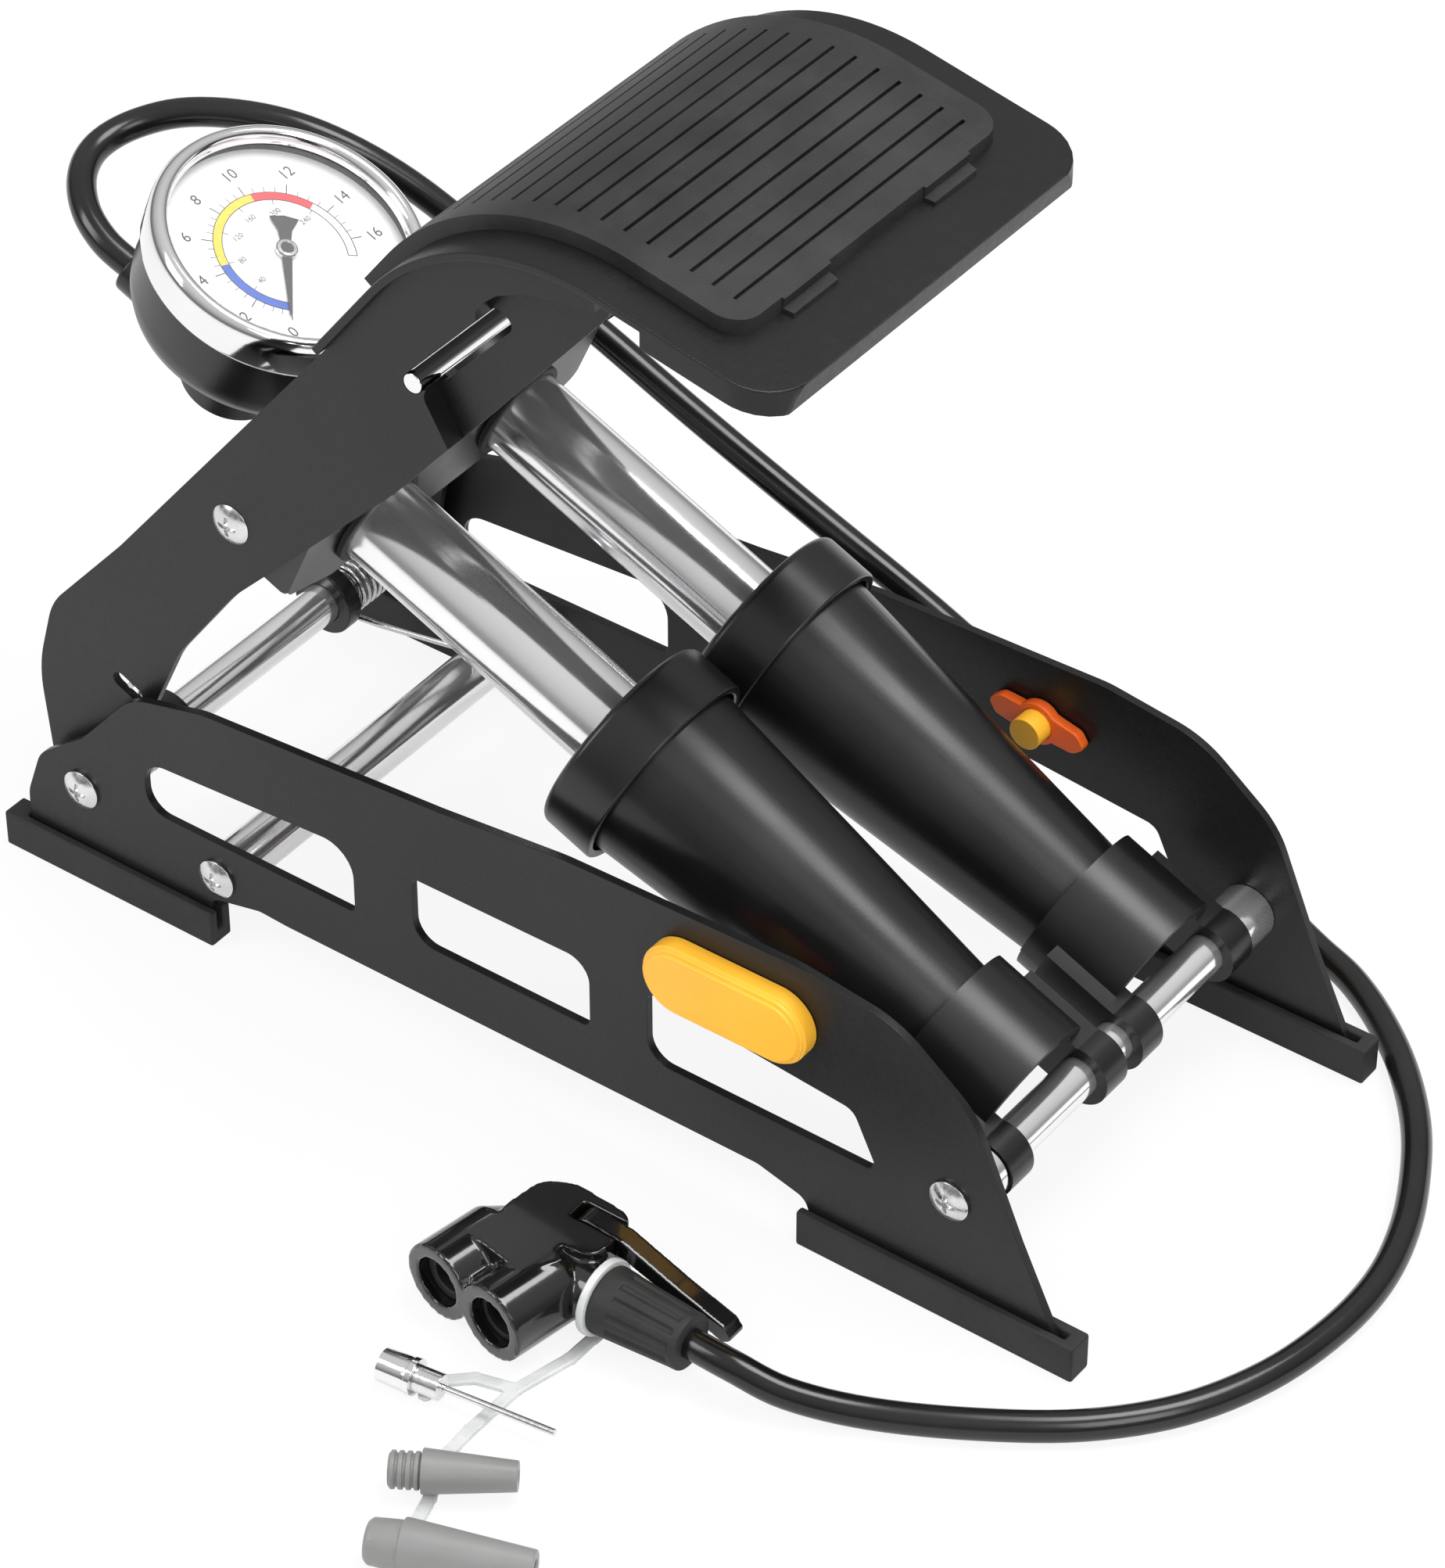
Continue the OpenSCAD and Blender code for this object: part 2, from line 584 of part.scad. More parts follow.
// Ring that seals each cylinder in the head
module cylinder_glands() color("#101010") pump_frame() for (s = [-1, 1]) difference() {
  along(head_front, head_front + 1.6, cyl_d + 3.4, y = s * unit_y);
  along(head_front - 1, head_front + 3, cyl_d + 2 * run, y = s * unit_y);
}

// Tapered shroud, closed at the axle end
module barrel(s) pump_frame() difference() {
  union() {
    along(collar_at + 3, cap_at, barrel_d1, barrel_d2, y = s * unit_y);
    along(cap_at, cap_at + 4, barrel_d2, y = s * unit_y);
  }
  along(collar_at + 2.9, cap_at - 2, barrel_d1 - 2 * barrel_wall, barrel_d2 - 2 * barrel_wall,
        y = s * unit_y);
}
module barrel_near() color("#18181a") barrel(-1);
module barrel_far() color("#18181a") barrel(1);

// Collar with a lip over the barrel's mouth and a guide for the cylinder
module collar(s) pump_frame() difference() {
  union() {
    along(collar_at, collar_at + 1.2, collar_d - 2.4, collar_d, y = s * unit_y);
    along(collar_at + 1.2, collar_at + collar_len, collar_d, y = s * unit_y);
  }
  along(collar_at - 1, collar_at + 4, cyl_d + 4 * run, y = s * unit_y);
  along(collar_at - 0.1, collar_at + 1.5, cyl_d + 14, cyl_d + 9, y = s * unit_y);
  along(collar_at + 3, collar_at + collar_len + 1, barrel_d1 + 2 * run, y = s * unit_y);
}
module collar_near() color("#202022") collar(-1);
module collar_far() color("#202022") collar(1);

// End cap with an arched skirt and two fork ears on the axle
module end_cap(s) pump_frame() translate([0, s * unit_y, 0]) difference() {
  union() {
    along(cap_at, cap_at + cap_len, cap_d);
    for (e = [-1, 1]) {
      translate([reach, e * 18 + ear_w / 2, 0]) rotate([90, 0, 0]) cylinder(d = ear_d, h = ear_w);
      translate([cap_at + 6, e * 18 - ear_w / 2, -ear_d / 2 + 1])
        cube([reach - cap_at - 6, ear_w, ear_d - 2]);
    }
    // skirt: upper half of a tube that runs on from the cap
    difference() {
      along(cap_at, cap_at + cap_len + 8, cap_d + 2);
      along(cap_at - 1, cap_at + cap_len + 9, cap_d - 5);
      translate([cap_at - 1, -50, -102]) cube([60, 100, 100]);
    }
  }
  along(cap_at - 1, cap_at + 4, barrel_d2 + 2 * run);
  translate([reach, 40, 0]) rotate([90, 0, 0]) cylinder(d = axle_d + 2 * run, h = 80);
}
module end_cap_near() color("#1a1a1c") end_cap(-1);
module end_cap_far() color("#1a1a1c") end_cap(1);

module piston_rods() color("#b9bcc0") pump_frame() for (s = [-1, 1])
  along(piston_at + piston_len, cap_at - 2, rod_d, y = s * unit_y);

module pistons() color("#e6e4dc") pump_frame() for (s = [-1, 1]) difference() {
  along(piston_at, piston_at + piston_len, cyl_in_d - 0.8, y = s * unit_y);
  difference() {
    along(piston_at + seal_at, piston_at + seal_at + seal_w, cyl_in_d + 1, y = s * unit_y);
    along(piston_at + seal_at - 1, piston_at + seal_at + seal_w + 1, seal_in_d, y = s * unit_y);
  }
}

module piston_seals() color("#0e0e0e") pump_frame() for (s = [-1, 1]) difference() {
  along(piston_at + seal_at, piston_at + seal_at + seal_w, cyl_in_d - 2 * run, y = s * unit_y);
  along(piston_at, piston_at + piston_len, seal_in_d, y = s * unit_y);
}

// ---- gauge ----

module gauge_cup() color("#17181a") gauge_frame() difference() {
  rotate_extrude() polygon(rounded([
    [0, cup_floor, 0], [cup_d / 2, cup_floor, 8], [cup_d / 2, lens_z, 0], [0, lens_z, 0]]));
  translate([0, 0, cup_floor + 2 * cup_wall]) cylinder(d = cup_d - 2 * cup_wall, h = 60);
}

module gauge_bezel() color("#d9dbde") gauge_frame() rotate_extrude() polygon(rounded([
  [cup_d / 2 + run, bezel_z, 0], [bezel_d / 2, bezel_z, 1], [bezel_d / 2, bezel_z + 7.5, 4],
  [bezel_d / 2 - 1.8, bezel_z + bezel_h, 1.5], [bezel_d / 2 - 4, bezel_z + bezel_h, 1.2],
  [bezel_d / 2 - 4.6, bezel_z + bezel_h - 2.5, 0.5], [bezel_d / 2 - 4.6, lens_z + 1.2, 0],
  [cup_d / 2 + run, lens_z + 1.2, 0]]));

module gauge_lens() color([0.8, 0.9, 1, 0.35]) gauge_frame()
  translate([0, 0, lens_z]) cylinder(d = cup_d, h = 1.2);

// Dial plate on its movement housing
module gauge_dial() color("#f3f3f1") gauge_frame() difference() {
  union() {
    translate([0, 0, dial_z - 1]) cylinder(d = cup_d - 2 * cup_wall, h = 1);
    translate([0, 0, cup_floor + 2 * cup_wall])
      cylinder(d = 24, h = dial_z - 1 - cup_floor - 2 * cup_wall);
  }
  translate([0, 0, dial_z - 4]) cylinder(d = 2.2, h = 6);
}

// Needle with flared tail, hub and pivot
module gauge_needle() color("#111111") gauge_frame() {
  translate([0, 0, dial_z - 3]) cylinder(d = 2, h = 4.2);
  translate([0, 0, dial_z + 0.3]) cylinder(d = 5, h = 1.1);
  translate([0, 0, dial_z + 0.4]) rotate([0, 0, zero_turn]) linear_extrude(0.5) {
    polygon([[0, -1.3], [18.5, -0.25], [18.5, 0.25], [0, 1.3]]);
    polygon([[0, -0.9], [-5.5, -1.6], [-9, -3.4], [-9.6, 0], [-9, 3.4], [-5.5, 1.6], [0, 0.9]]);
  }
}

// Air stem: from the head, under the cup, to the hose outlet
module gauge_stem() color("#141516") pump_frame() difference() {
  union() {
    translate([0, 0, port_z]) along(nut_end + nut_len, 0, 13);
    translate([gauge_x, 0, port_z - 6.5]) cylinder(d = 24, h = cup_floor - port_z + 6.5);
    translate([-12, -9, port_z - 6.5]) cube([22, 18, -9 - port_z + 6.5]);
  }
  translate([0, 0, port_z]) along(nut_end + nut_len - 1, 2, 4);
  translate([0, 0, port_z]) cylinder(d = 4, h = -port_z);
  translate([gauge_x, 0, port_z]) cylinder(d = 4, h = cup_floor - port_z + 1);
}

module hose_nut() color("#1b1b1d") pump_frame() translate([0, 0, port_z])
  along(nut_end, nut_end + nut_len, 12);

// ---- hose ----

hose_points_upper = [
  [-154.2, 0, 127.7], [-162, 0, 131.2], [-170, 3, 135], [-177, 10, 138], [-180, 19, 140],
  [-177, 29, 142], [-168, 38, 144], [-153, 46, 144], [-138, 53, 140], [-122, 61, 130],
  [-102, 68, 115], [-80, 72, 103], [-50, 74, 88], [-18, 76, 73], [15, 78, 58], [45, 80, 42],
  [75, 83, 25], [99.8, 86, 12.1]];
hose_points_lower = [
  [100.1, 86, 11.95], [110, 86.6, 6.4], [120, 84.5, 3.9], [131, 80.5, 3.7], [143, 73, 3.7],
  [156, 62, 3.7], [168, 48, 3.7], [177, 33, 3.7], [184, 17, 3.7], [188, 0, 3.7],
  [188, -18, 3.7], [184, -38, 3.7], [175, -57, 3.7], [161, -73, 3.7], [143, -86, 3.7],
  [123, -97, 3.8], [107, -104.5, 6.2], [95, -107.5, 9.6], [84, -107.5, 10]];

module hose_upper() color("#101011") swept_tube(smooth_path(hose_points_upper, 4), hose_d / 2, 10);
module hose_lower() color("#101011") swept_tube(smooth_path(hose_points_lower, 4), hose_d / 2, 10);

module hose_relief() color("#1a1a1b") translate([0, relief_y, head_z]) difference() {
  union() {
    along(relief_x[0], relief_x[1] - 2.5, 16, 12.8);
    along(relief_x[1] - 2.5, relief_x[1], 11.4);
  }
  along(relief_x[0] - 1, relief_x[0] + 4, 10);
}

// ---- valve head ----

module head_frame() translate([head_x, head_y, head_z]) rotate([0, 0, head_turn]) children();

module valve_body() color("#0d0d0e") difference() {
  union() {
    head_frame() {
      for (s = [-1, 1]) translate([s * port_pitch / 2, 0, 0]) {
        rotate([90, 0, 0]) cylinder(d = port_d, h = head_len / 2);
        rotate([-90, 0, 0]) cylinder(d1 = port_d, d2 = port_d / 2, h = 9);
      }
      // web, flush with the tops of the tubes but for the notch between the ports
      translate([-port_pitch / 2, -head_len / 2 + 3, -port_d / 2 + 1])
        cube([port_pitch, head_len / 2 + 2, port_d - 5]);
      translate([-port_pitch / 2, -head_len / 2 + 9, 0])
        cube([port_pitch, head_len / 2 - 4, port_d / 2]);
    }
    translate([0, relief_y, head_z]) along(head_x, relief_x[0], 14);
    translate([0, relief_y, head_z]) along(head_x, relief_x[0] + 4, 10 - 2 * run);
    // housing behind the ports, with cheeks for the lever
    translate([0, 0, 3]) linear_extrude(head_z + port_d / 2 - 3) polygon(rounded([
      [head_x - 9, -108, 3], [relief_x[0] - 4, -107, 4], [relief_x[0] - 4, -91.6, 5],
      [head_x, -90.5, 7], [head_x - 7, -94, 6]]));
  }
  head_frame() for (s = [-1, 1]) translate([s * port_pitch / 2, -head_len / 2 + 12, 0])
    rotate([90, 0, 0]) cylinder(d = 12, h = 14);
  slab(lever_y - lever_w / 2 - slack, lever_w + 2 * slack) translate(lever_at) {
    circle(r = 4.3);
    translate([0, -20]) square([40, 40]);
    translate([-4.3, 0]) square([10, 30]);
  }
  cross(lever_at, 3 + 2 * run, lever_y - lever_w / 2 - 2, lever_y + lever_w / 2 + 2);
}

// Rubber ring in each port, one bore for each kind of valve
module port_grommets() color("#1d1d1f") head_frame() for (s = [-1, 1])
  translate([s * port_pitch / 2, -head_len / 2 + 12, 0]) rotate([90, 0, 0]) difference() {
    cylinder(d = 12, h = 9);
    translate([0, 0, -1]) cylinder(d = s < 0 ? 7.4 : 9, h = 12);
  }

module valve_lever() color("#0f0f10") difference() {
  union() {
    cross(lever_at, 8, lever_y - lever_w / 2, lever_y + lever_w / 2);
    slab(lever_y - lever_w / 2, lever_w) translate(lever_at) polygon(rounded([
      [0, 4, 0], [9, 3.2, 6], [24, -2.5, 8], [36.5, -6.6, 2], [38.5, -9.4, 1.2], [36, -11.2, 1.5],
      [24, -6.6, 8], [9, -1.6, 5], [0, -4, 0]]));
  }
  cross(lever_at, 3 + 2 * run, lever_y - lever_w, lever_y + lever_w);
}

module lever_pin() color("#c9ccd0")
  cross(lever_at, 3, lever_y - lever_w / 2 - 2, lever_y + lever_w / 2 + 2);

// ---- adapters ----

needle_at = [32, -146.5];
needle_turn = 7.6;
nozzle1_at = [53.5, -171.2];
nozzle1_turn = 32;
nozzle2_at = [62.5, -189.5];
nozzle2_turn = 24;

module lying(at, z, turn) translate([at[0], at[1], z]) rotate([0, 0, turn]) children();

module ball_needle() color("#d9dadc") lying(needle_at, 4.2, needle_turn) {
  along(8.4, 14.5, 6);
  along(14.5, 42, 1.6);
}
module ball_needle_cap() color("#c9ccd0") lying(needle_at, 4.2, needle_turn) {
  along(0, 7, 7.6, 8);
  along(7, 8.4, 8.4);
}
module nozzle_small() color("#9b9b99") lying(nozzle1_at, 6.2, nozzle1_turn) difference() {
  union() {
    along(0, 7, 7.2);
    for (i = [0:3]) along(0.4 + i * 1.7, 1.4 + i * 1.7, 8.2);
    along(7, 27, 9.8, 6.6);
  }
  along(-1, 28, 3);
}
module nozzle_large() color("#9b9b99") lying(nozzle2_at, 6.2, nozzle2_turn) difference() {
  union() {
    along(1, 7.5, 10, 10.8);
    along(0, 1, 8.4, 10);
    along(7.5, 35.5, 12.2, 7.4);
  }
  along(-1, 36, 3.4);
}

// Thin moulded strap: ring round the neck and strips on the floor to each adapter
strap_t = 1.2;
strap_w = 3;
strap_fork = [57, -133];
strap_routes = [
  [[relief_x[0] - 1.1, relief_y], [60.5, -119], strap_fork],
  [strap_fork, [48, -135.5], [42, -141], [42.5, -145.6]],
  [strap_fork, [56.5, -148], [57, -158], [62, -168.5], [64.5, -177], [66.2, -183.6]]];

module adapter_strap() color([0.93, 0.93, 0.92, 0.6]) {
  translate([0, relief_y, head_z]) difference() {
    along(relief_x[0] - 2, relief_x[0] - 0.2, 18);
    along(relief_x[0] - 3, relief_x[0] + 1, 14 + 2 * run);
  }
  translate([relief_x[0] - 2, relief_y - 3, 0]) cube([1.8, 6, 2]);
  linear_extrude(strap_t) for (r = strap_routes, i = [0:len(r) - 1]) translate(r[i]) {
    circle(d = strap_w + 0.2);
    if (i > 0) let (back = r[i - 1] - r[i])
      rotate(atan2(back[1], back[0])) translate([0, -strap_w / 2]) square([norm(back), strap_w]);
  }
}

side_plate_near();
side_plate_far();
foot_heel_near();
foot_heel_far();
foot_front_near();
foot_front_far();
hinge_tube();
tie_tube();
front_axle();
axle_bushes();
frame_screws();
hinge_spacers();
return_spring_near();
return_spring_far();
spring_bushes();
latch_knob_near();
latch_wing_near();
latch_knob_far();
latch_wing_far();
arm_near();
arm_far();
pedal_deck();
tread_pad();
lock_pin();
pivot_pins();
pump_head();
check_valves();
cylinder_near();
cylinder_far();
cylinder_glands();
barrel_near();
barrel_far();
collar_near();
collar_far();
end_cap_near();
end_cap_far();
piston_rods();
pistons();
piston_seals();
gauge_cup();
gauge_bezel();
gauge_lens();
gauge_dial();
gauge_needle();
gauge_stem();
hose_nut();
hose_upper();
hose_lower();
hose_relief();
valve_body();
port_grommets();
valve_lever();
lever_pin();
adapter_strap();
ball_needle();
ball_needle_cap();
nozzle_small();
nozzle_large();
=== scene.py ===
"""Foot pump: twin cylinders in a steel frame, folding pedal, gauge, hose, valve head and adapters."""

import json
import math

import bpy
from bpy.props import FloatProperty, FloatVectorProperty, IntProperty, PointerProperty
from mathutils import Matrix, Vector


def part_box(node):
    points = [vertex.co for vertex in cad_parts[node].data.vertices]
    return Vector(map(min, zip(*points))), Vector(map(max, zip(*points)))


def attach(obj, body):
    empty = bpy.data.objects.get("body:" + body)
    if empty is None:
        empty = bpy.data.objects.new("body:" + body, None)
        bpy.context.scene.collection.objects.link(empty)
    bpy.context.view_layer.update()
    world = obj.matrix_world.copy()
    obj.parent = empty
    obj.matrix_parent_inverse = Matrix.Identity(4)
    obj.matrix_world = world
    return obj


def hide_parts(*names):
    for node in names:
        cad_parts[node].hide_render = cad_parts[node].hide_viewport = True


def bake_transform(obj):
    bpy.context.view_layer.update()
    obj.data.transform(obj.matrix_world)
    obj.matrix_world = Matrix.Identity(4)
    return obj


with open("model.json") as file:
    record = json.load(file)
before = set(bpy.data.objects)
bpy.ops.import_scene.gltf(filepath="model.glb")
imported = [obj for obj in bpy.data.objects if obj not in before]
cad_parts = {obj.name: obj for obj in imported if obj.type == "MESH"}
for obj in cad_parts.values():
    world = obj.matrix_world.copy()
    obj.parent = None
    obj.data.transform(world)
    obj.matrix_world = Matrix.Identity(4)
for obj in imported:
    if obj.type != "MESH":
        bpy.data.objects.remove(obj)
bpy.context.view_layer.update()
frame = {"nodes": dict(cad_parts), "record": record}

bl_info = {
    "name": "Foot pump",
    "version": (1, 0, 0),
    "blender": (4, 5, 0),
    "location": "3D View > Sidebar > Foot pump",
    "description": "Models a twin-cylinder foot pump piece by piece round its CAD frame",
    "category": "Add Mesh",
}

MM = 0.001
BODY = {n: b for b, members in frame["record"]["behaviour"]["bodies"].items() for n in members}
SLOT = {p["node"]: p["material_slot"] for p in frame["record"]["subparts"]}


def middle(node):
    """Centre of a CAD node's box."""
    low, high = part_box(node)
    return (low + high) / 2


# The pump's own frame: x along the cylinders from the pedal pivot to the axle, z square to them
PIVOT = middle("pivot_pins")
AXLE = middle("front_axle")
HINGE = middle("hinge_tube")
TIE = middle("tie_tube")
PIVOT.y = AXLE.y = HINGE.y = TIE.y = 0
ALONG = (AXLE - PIVOT).normalized()
ACROSS = Vector((-ALONG.z, 0, ALONG.x))
PUMP = Matrix(
    (
        (ALONG.x, 0, ACROSS.x, PIVOT.x),
        (0, 1, 0, 0),
        (ALONG.z, 0, ACROSS.z, PIVOT.z),
        (0, 0, 0, 1),
    )
)
GAUGE_X = -37.5 * MM  # of the gauge's own axis
GAUGE = PUMP @ Matrix.Translation((GAUGE_X, 0, 0))
DIAL_Z = 17 * MM  # level of the dial's face in the gauge's frame
HOSE_D = 7 * MM

# The camera, fitted to the photograph; pixels are the photograph's
PHOTO_HEIGHT = 2005
FOCAL_PIXELS = 7675.55
AZIMUTH = 36.44  # degrees from the -Y axis
ELEVATION = 39.44
DISTANCE = 1334.9 * MM
TARGET = Vector((12.94, 0, 56.64)) * MM
SENSOR_WIDTH = 36


# ---- sizes and colours ----


class PumpSizes(bpy.types.PropertyGroup):
    """Sizes of the modelled details."""

    sheet_edge: FloatProperty(
        name="Sheet edge", description="Rounding of the sheet metal's edges", default=0.45 * MM, unit="LENGTH"
    )
    hose_sides: IntProperty(name="Hose sides", description="Sides round the hose", default=20, min=8, max=48)
    wire_d: FloatProperty(
        name="Spring wire", description="Diameter of the spring wire", default=1.6 * MM, unit="LENGTH"
    )
    print_height: FloatProperty(
        name="Print height", description="Thickness of the ink on the dial", default=0.06 * MM, unit="LENGTH"
    )


class PumpColours(bpy.types.PropertyGroup):
    """Colours of the finishes."""

    def tint(name, text, rgb):
        return FloatVectorProperty(
            name=name, description=text, default=rgb, size=3, min=0, max=1, subtype="COLOR"
        )

    coat: tint("Powder coat", "Satin black of the sheet metal", (0.008, 0.008, 0.0085))
    plastic: tint("Black plastic", "Barrels, collars and pump head", (0.006, 0.006, 0.0065))
    rubber: tint("Rubber", "Feet and tread", (0.018, 0.018, 0.018))
    hose: tint("Hose", "Glossy hose", (0.006, 0.006, 0.006))
    chrome: tint("Chrome", "Tubes and bezel", (0.86, 0.86, 0.87))
    knob: tint("Knob", "Latch knobs", (1.0, 0.5, 0.035))
    wing: tint("Wing", "Latch wings", (0.86, 0.13, 0.014))
    dial: tint("Dial", "Dial plate", (0.93, 0.93, 0.93))
    adapter: tint("Adapter", "Grey nozzles", (0.24, 0.24, 0.237))


# ---- shader nodes ----


class Wire:
    """A node's output that can be used in arithmetic."""

    def __init__(self, finish, socket):
        self.finish, self.socket = finish, socket

    def _math(self, op, a, b):
        return self.finish.add("ShaderNodeMath", {"operation": op}, {0: a, 1: b})

    def __add__(self, o):
        return self._math("ADD", self, o)

    def __radd__(self, o):
        return self._math("ADD", o, self)

    def __mul__(self, o):
        return self._math("MULTIPLY", self, o)

    def __rmul__(self, o):
        return self._math("MULTIPLY", o, self)


class Finish:
    """One material under construction."""

    def __init__(self, name):
        self.material = bpy.data.materials.new(name)
        self.material.use_nodes = True
        self.tree = self.material.node_tree
        self.tree.nodes.clear()

    def add(self, kind, settings=None, values=None, out=0):
        """A node of one type, with its settings and the values or links of its sockets."""
        node = self.tree.nodes.new(kind)
        for key, value in (settings or {}).items():
            setattr(node, key, value)
        for key, value in (values or {}).items():
            socket = node.inputs[key]
            if isinstance(value, Wire):
                self.tree.links.new(value.socket, socket)
            else:
                socket.default_value = value
        return Wire(self, node.outputs[out]) if node.outputs else None

    def place(self):
        """Object coordinates, in metres."""
        return self.add("ShaderNodeTexCoord", out="Object")

    def stretched(self, scale):
        return self.add("ShaderNodeMapping", None, {"Vector": self.place(), "Scale": scale})

    def noise(self, scale, detail=3, rough=0.5, where=None):
        return self.add(
            "ShaderNodeTexNoise",
            None,
            {"Vector": where or self.place(), "Scale": scale, "Detail": detail, "Roughness": rough},
        )

    def mix(self, share, a, b):
        """Colour a where share is 0 and b where it is 1."""
        sockets = {0: share}
        for key, colour in ((6, a), (7, b)):
            sockets[key] = colour if isinstance(colour, Wire) else (*colour, 1)
        return self.add("ShaderNodeMix", {"data_type": "RGBA"}, sockets, out=2)

    def fit(self, value, low, high, to_low, to_high):
        """The value, with the range low to high stretched over to_low to to_high."""
        return self.add("ShaderNodeMapRange", None, {0: value, 1: low, 2: high, 3: to_low, 4: to_high})

    def bump(self, height, strength, distance):
        values = {"Height": height, "Strength": strength, "Distance": distance}
        return self.add("ShaderNodeBump", None, values)

    def surface(self, **values):
        """Principled surface; underscores stand for spaces."""
        sockets = {name.replace("_", " "): value for name, value in values.items()}
        shader = self.add("ShaderNodeBsdfPrincipled", None, sockets)
        self.add("ShaderNodeOutputMaterial", None, {"Surface": shader})
        return self.material


def shade(colour, by):
    return tuple(min(1, c * by) for c in colour)


def powder_coat(c):
    """Satin black with a fine orange peel and specks of dust."""
    f = Finish("powder_coat")
    cloud, peel, dust = f.noise(18, 4), f.noise(1500, 2), f.noise(420, 5, 0.7)
    colour = f.mix(f.fit(cloud, 0.3, 0.7, 0, 1), shade(c.coat, 0.85), shade(c.coat, 1.35))
    colour = f.mix(f.fit(dust, 0.66, 0.76, 0, 0.25), colour, shade(c.coat, 4))
    return f.surface(
        Base_Color=colour,
        Roughness=f.fit(dust, 0.3, 0.7, 0.3, 0.4),
        Specular_IOR_Level=0.3,
        Normal=f.bump(peel, 0.35, 0.00012),
    )


def rubber(c, name="moulded_rubber", by=1.0, rough=0.7):
    f = Finish(name)
    grain, cloud = f.noise(2600, 3), f.noise(60, 4, 0.6)
    colour = f.mix(f.fit(cloud, 0.35, 0.7, 0, 1), shade(c.rubber, 0.8 * by), shade(c.rubber, 1.5 * by))
    return f.surface(
        Base_Color=colour,
        Roughness=f.fit(cloud, 0.3, 0.7, rough - 0.06, rough + 0.06),
        Specular_IOR_Level=0.4,
        Normal=f.bump(grain, 0.5, 0.00015),
    )


def chrome(c):
    f = Finish("chrome_plate")
    haze, scratch = f.noise(25, 3), f.noise(900, 2, where=f.stretched((0.15, 1, 1)))
    return f.surface(
        Base_Color=f.mix(f.fit(haze, 0.3, 0.7, 0, 1), shade(c.chrome, 0.93), c.chrome),
        Metallic=1.0,
        Roughness=f.fit(haze * 0.6 + scratch * 0.4, 0.3, 0.7, 0.07, 0.13),
        Normal=f.bump(scratch, 0.05, 0.00005),
    )


def silver(c):
    f = Finish("silver_plate")
    haze, drawn_lines = f.noise(30, 3), f.noise(1100, 2, where=f.stretched((0.12, 1, 1)))
    return f.surface(
        Base_Color=f.mix(f.fit(haze, 0.3, 0.7, 0, 1), shade(c.chrome, 0.98), shade(c.chrome, 1.06)),
        Metallic=0.88,
        Roughness=f.fit(haze * 0.5 + drawn_lines * 0.5, 0.3, 0.7, 0.1, 0.17),
        Normal=f.bump(drawn_lines, 0.05, 0.00005),
    )


def bright_steel(c, name="bright_steel", by=0.8, rough=0.24):
    f = Finish(name)
    haze, brushed = f.noise(120, 3), f.noise(1400, 3, where=f.stretched((1, 0.1, 1)))
    return f.surface(
        Base_Color=f.mix(f.fit(haze, 0.3, 0.7, 0, 1), shade(c.chrome, by * 0.85), shade(c.chrome, by)),
        Metallic=1.0,
        Roughness=f.fit(brushed, 0.3, 0.7, rough - 0.06, rough + 0.1),
        Normal=f.bump(brushed, 0.15, 0.00005),
    )


def black_plastic(c, name="satin_plastic", by=1.0, rough=0.3):
    f = Finish(name)
    grain, cloud = f.noise(1800, 2), f.noise(35, 4)
    dark, light = shade(c.plastic, 0.8 * by), shade(c.plastic, 1.4 * by)
    return f.surface(
        Base_Color=f.mix(f.fit(cloud, 0.3, 0.7, 0, 1), dark, light),
        Roughness=f.fit(cloud, 0.3, 0.7, rough - 0.04, rough + 0.06),
        Specular_IOR_Level=0.5,
        Normal=f.bump(grain, 0.22, 0.00006),
    )


def gloss_plastic(c):
    f = Finish("gloss_plastic")
    cloud, ripple = f.noise(45, 3), f.noise(160, 2)
    return f.surface(
        Base_Color=f.mix(f.fit(cloud, 0.3, 0.7, 0, 1), shade(c.hose, 0.7), shade(c.hose, 1.3)),
        Roughness=f.fit(cloud, 0.3, 0.7, 0.08, 0.16),
        Coat_Weight=0.5,
        Coat_Roughness=0.05,
        Normal=f.bump(ripple, 0.12, 0.0002),
    )


def hose_rubber(c):
    f = Finish("hose_rubber")
    cloud, fine = f.noise(40, 4), f.noise(700, 2)
    return f.surface(
        Base_Color=f.mix(f.fit(cloud, 0.3, 0.7, 0, 1), shade(c.hose, 0.8), shade(c.hose, 1.6)),
        Roughness=f.fit(cloud, 0.3, 0.7, 0.17, 0.26),
        Specular_IOR_Level=0.5,
        Normal=f.bump(fine, 0.1, 0.0001),
    )


def coloured_plastic(name, colour, rough=0.38, glow=0.0):
    f = Finish(name)
    grain, cloud = f.noise(1700, 2), f.noise(50, 4)
    return f.surface(
        Base_Color=f.mix(f.fit(cloud, 0.3, 0.7, 0, 1), shade(colour, 0.92), shade(colour, 1.05)),
        Roughness=f.fit(cloud, 0.3, 0.7, rough - 0.04, rough + 0.06),
        Subsurface_Weight=glow,
        Subsurface_Radius=(0.002, 0.001, 0.0005),
        Normal=f.bump(grain, 0.15, 0.00006),
    )


def printed_dial(c):
    f = Finish("dial_enamel")
    cloud, fleck = f.noise(60, 3), f.noise(2200, 3)
    return f.surface(
        Base_Color=f.mix(f.fit(cloud, 0.3, 0.7, 0, 1), shade(c.dial, 0.97), c.dial),
        Roughness=f.fit(fleck, 0.3, 0.7, 0.34, 0.42),
        Normal=f.bump(fleck, 0.06, 0.00004),
    )


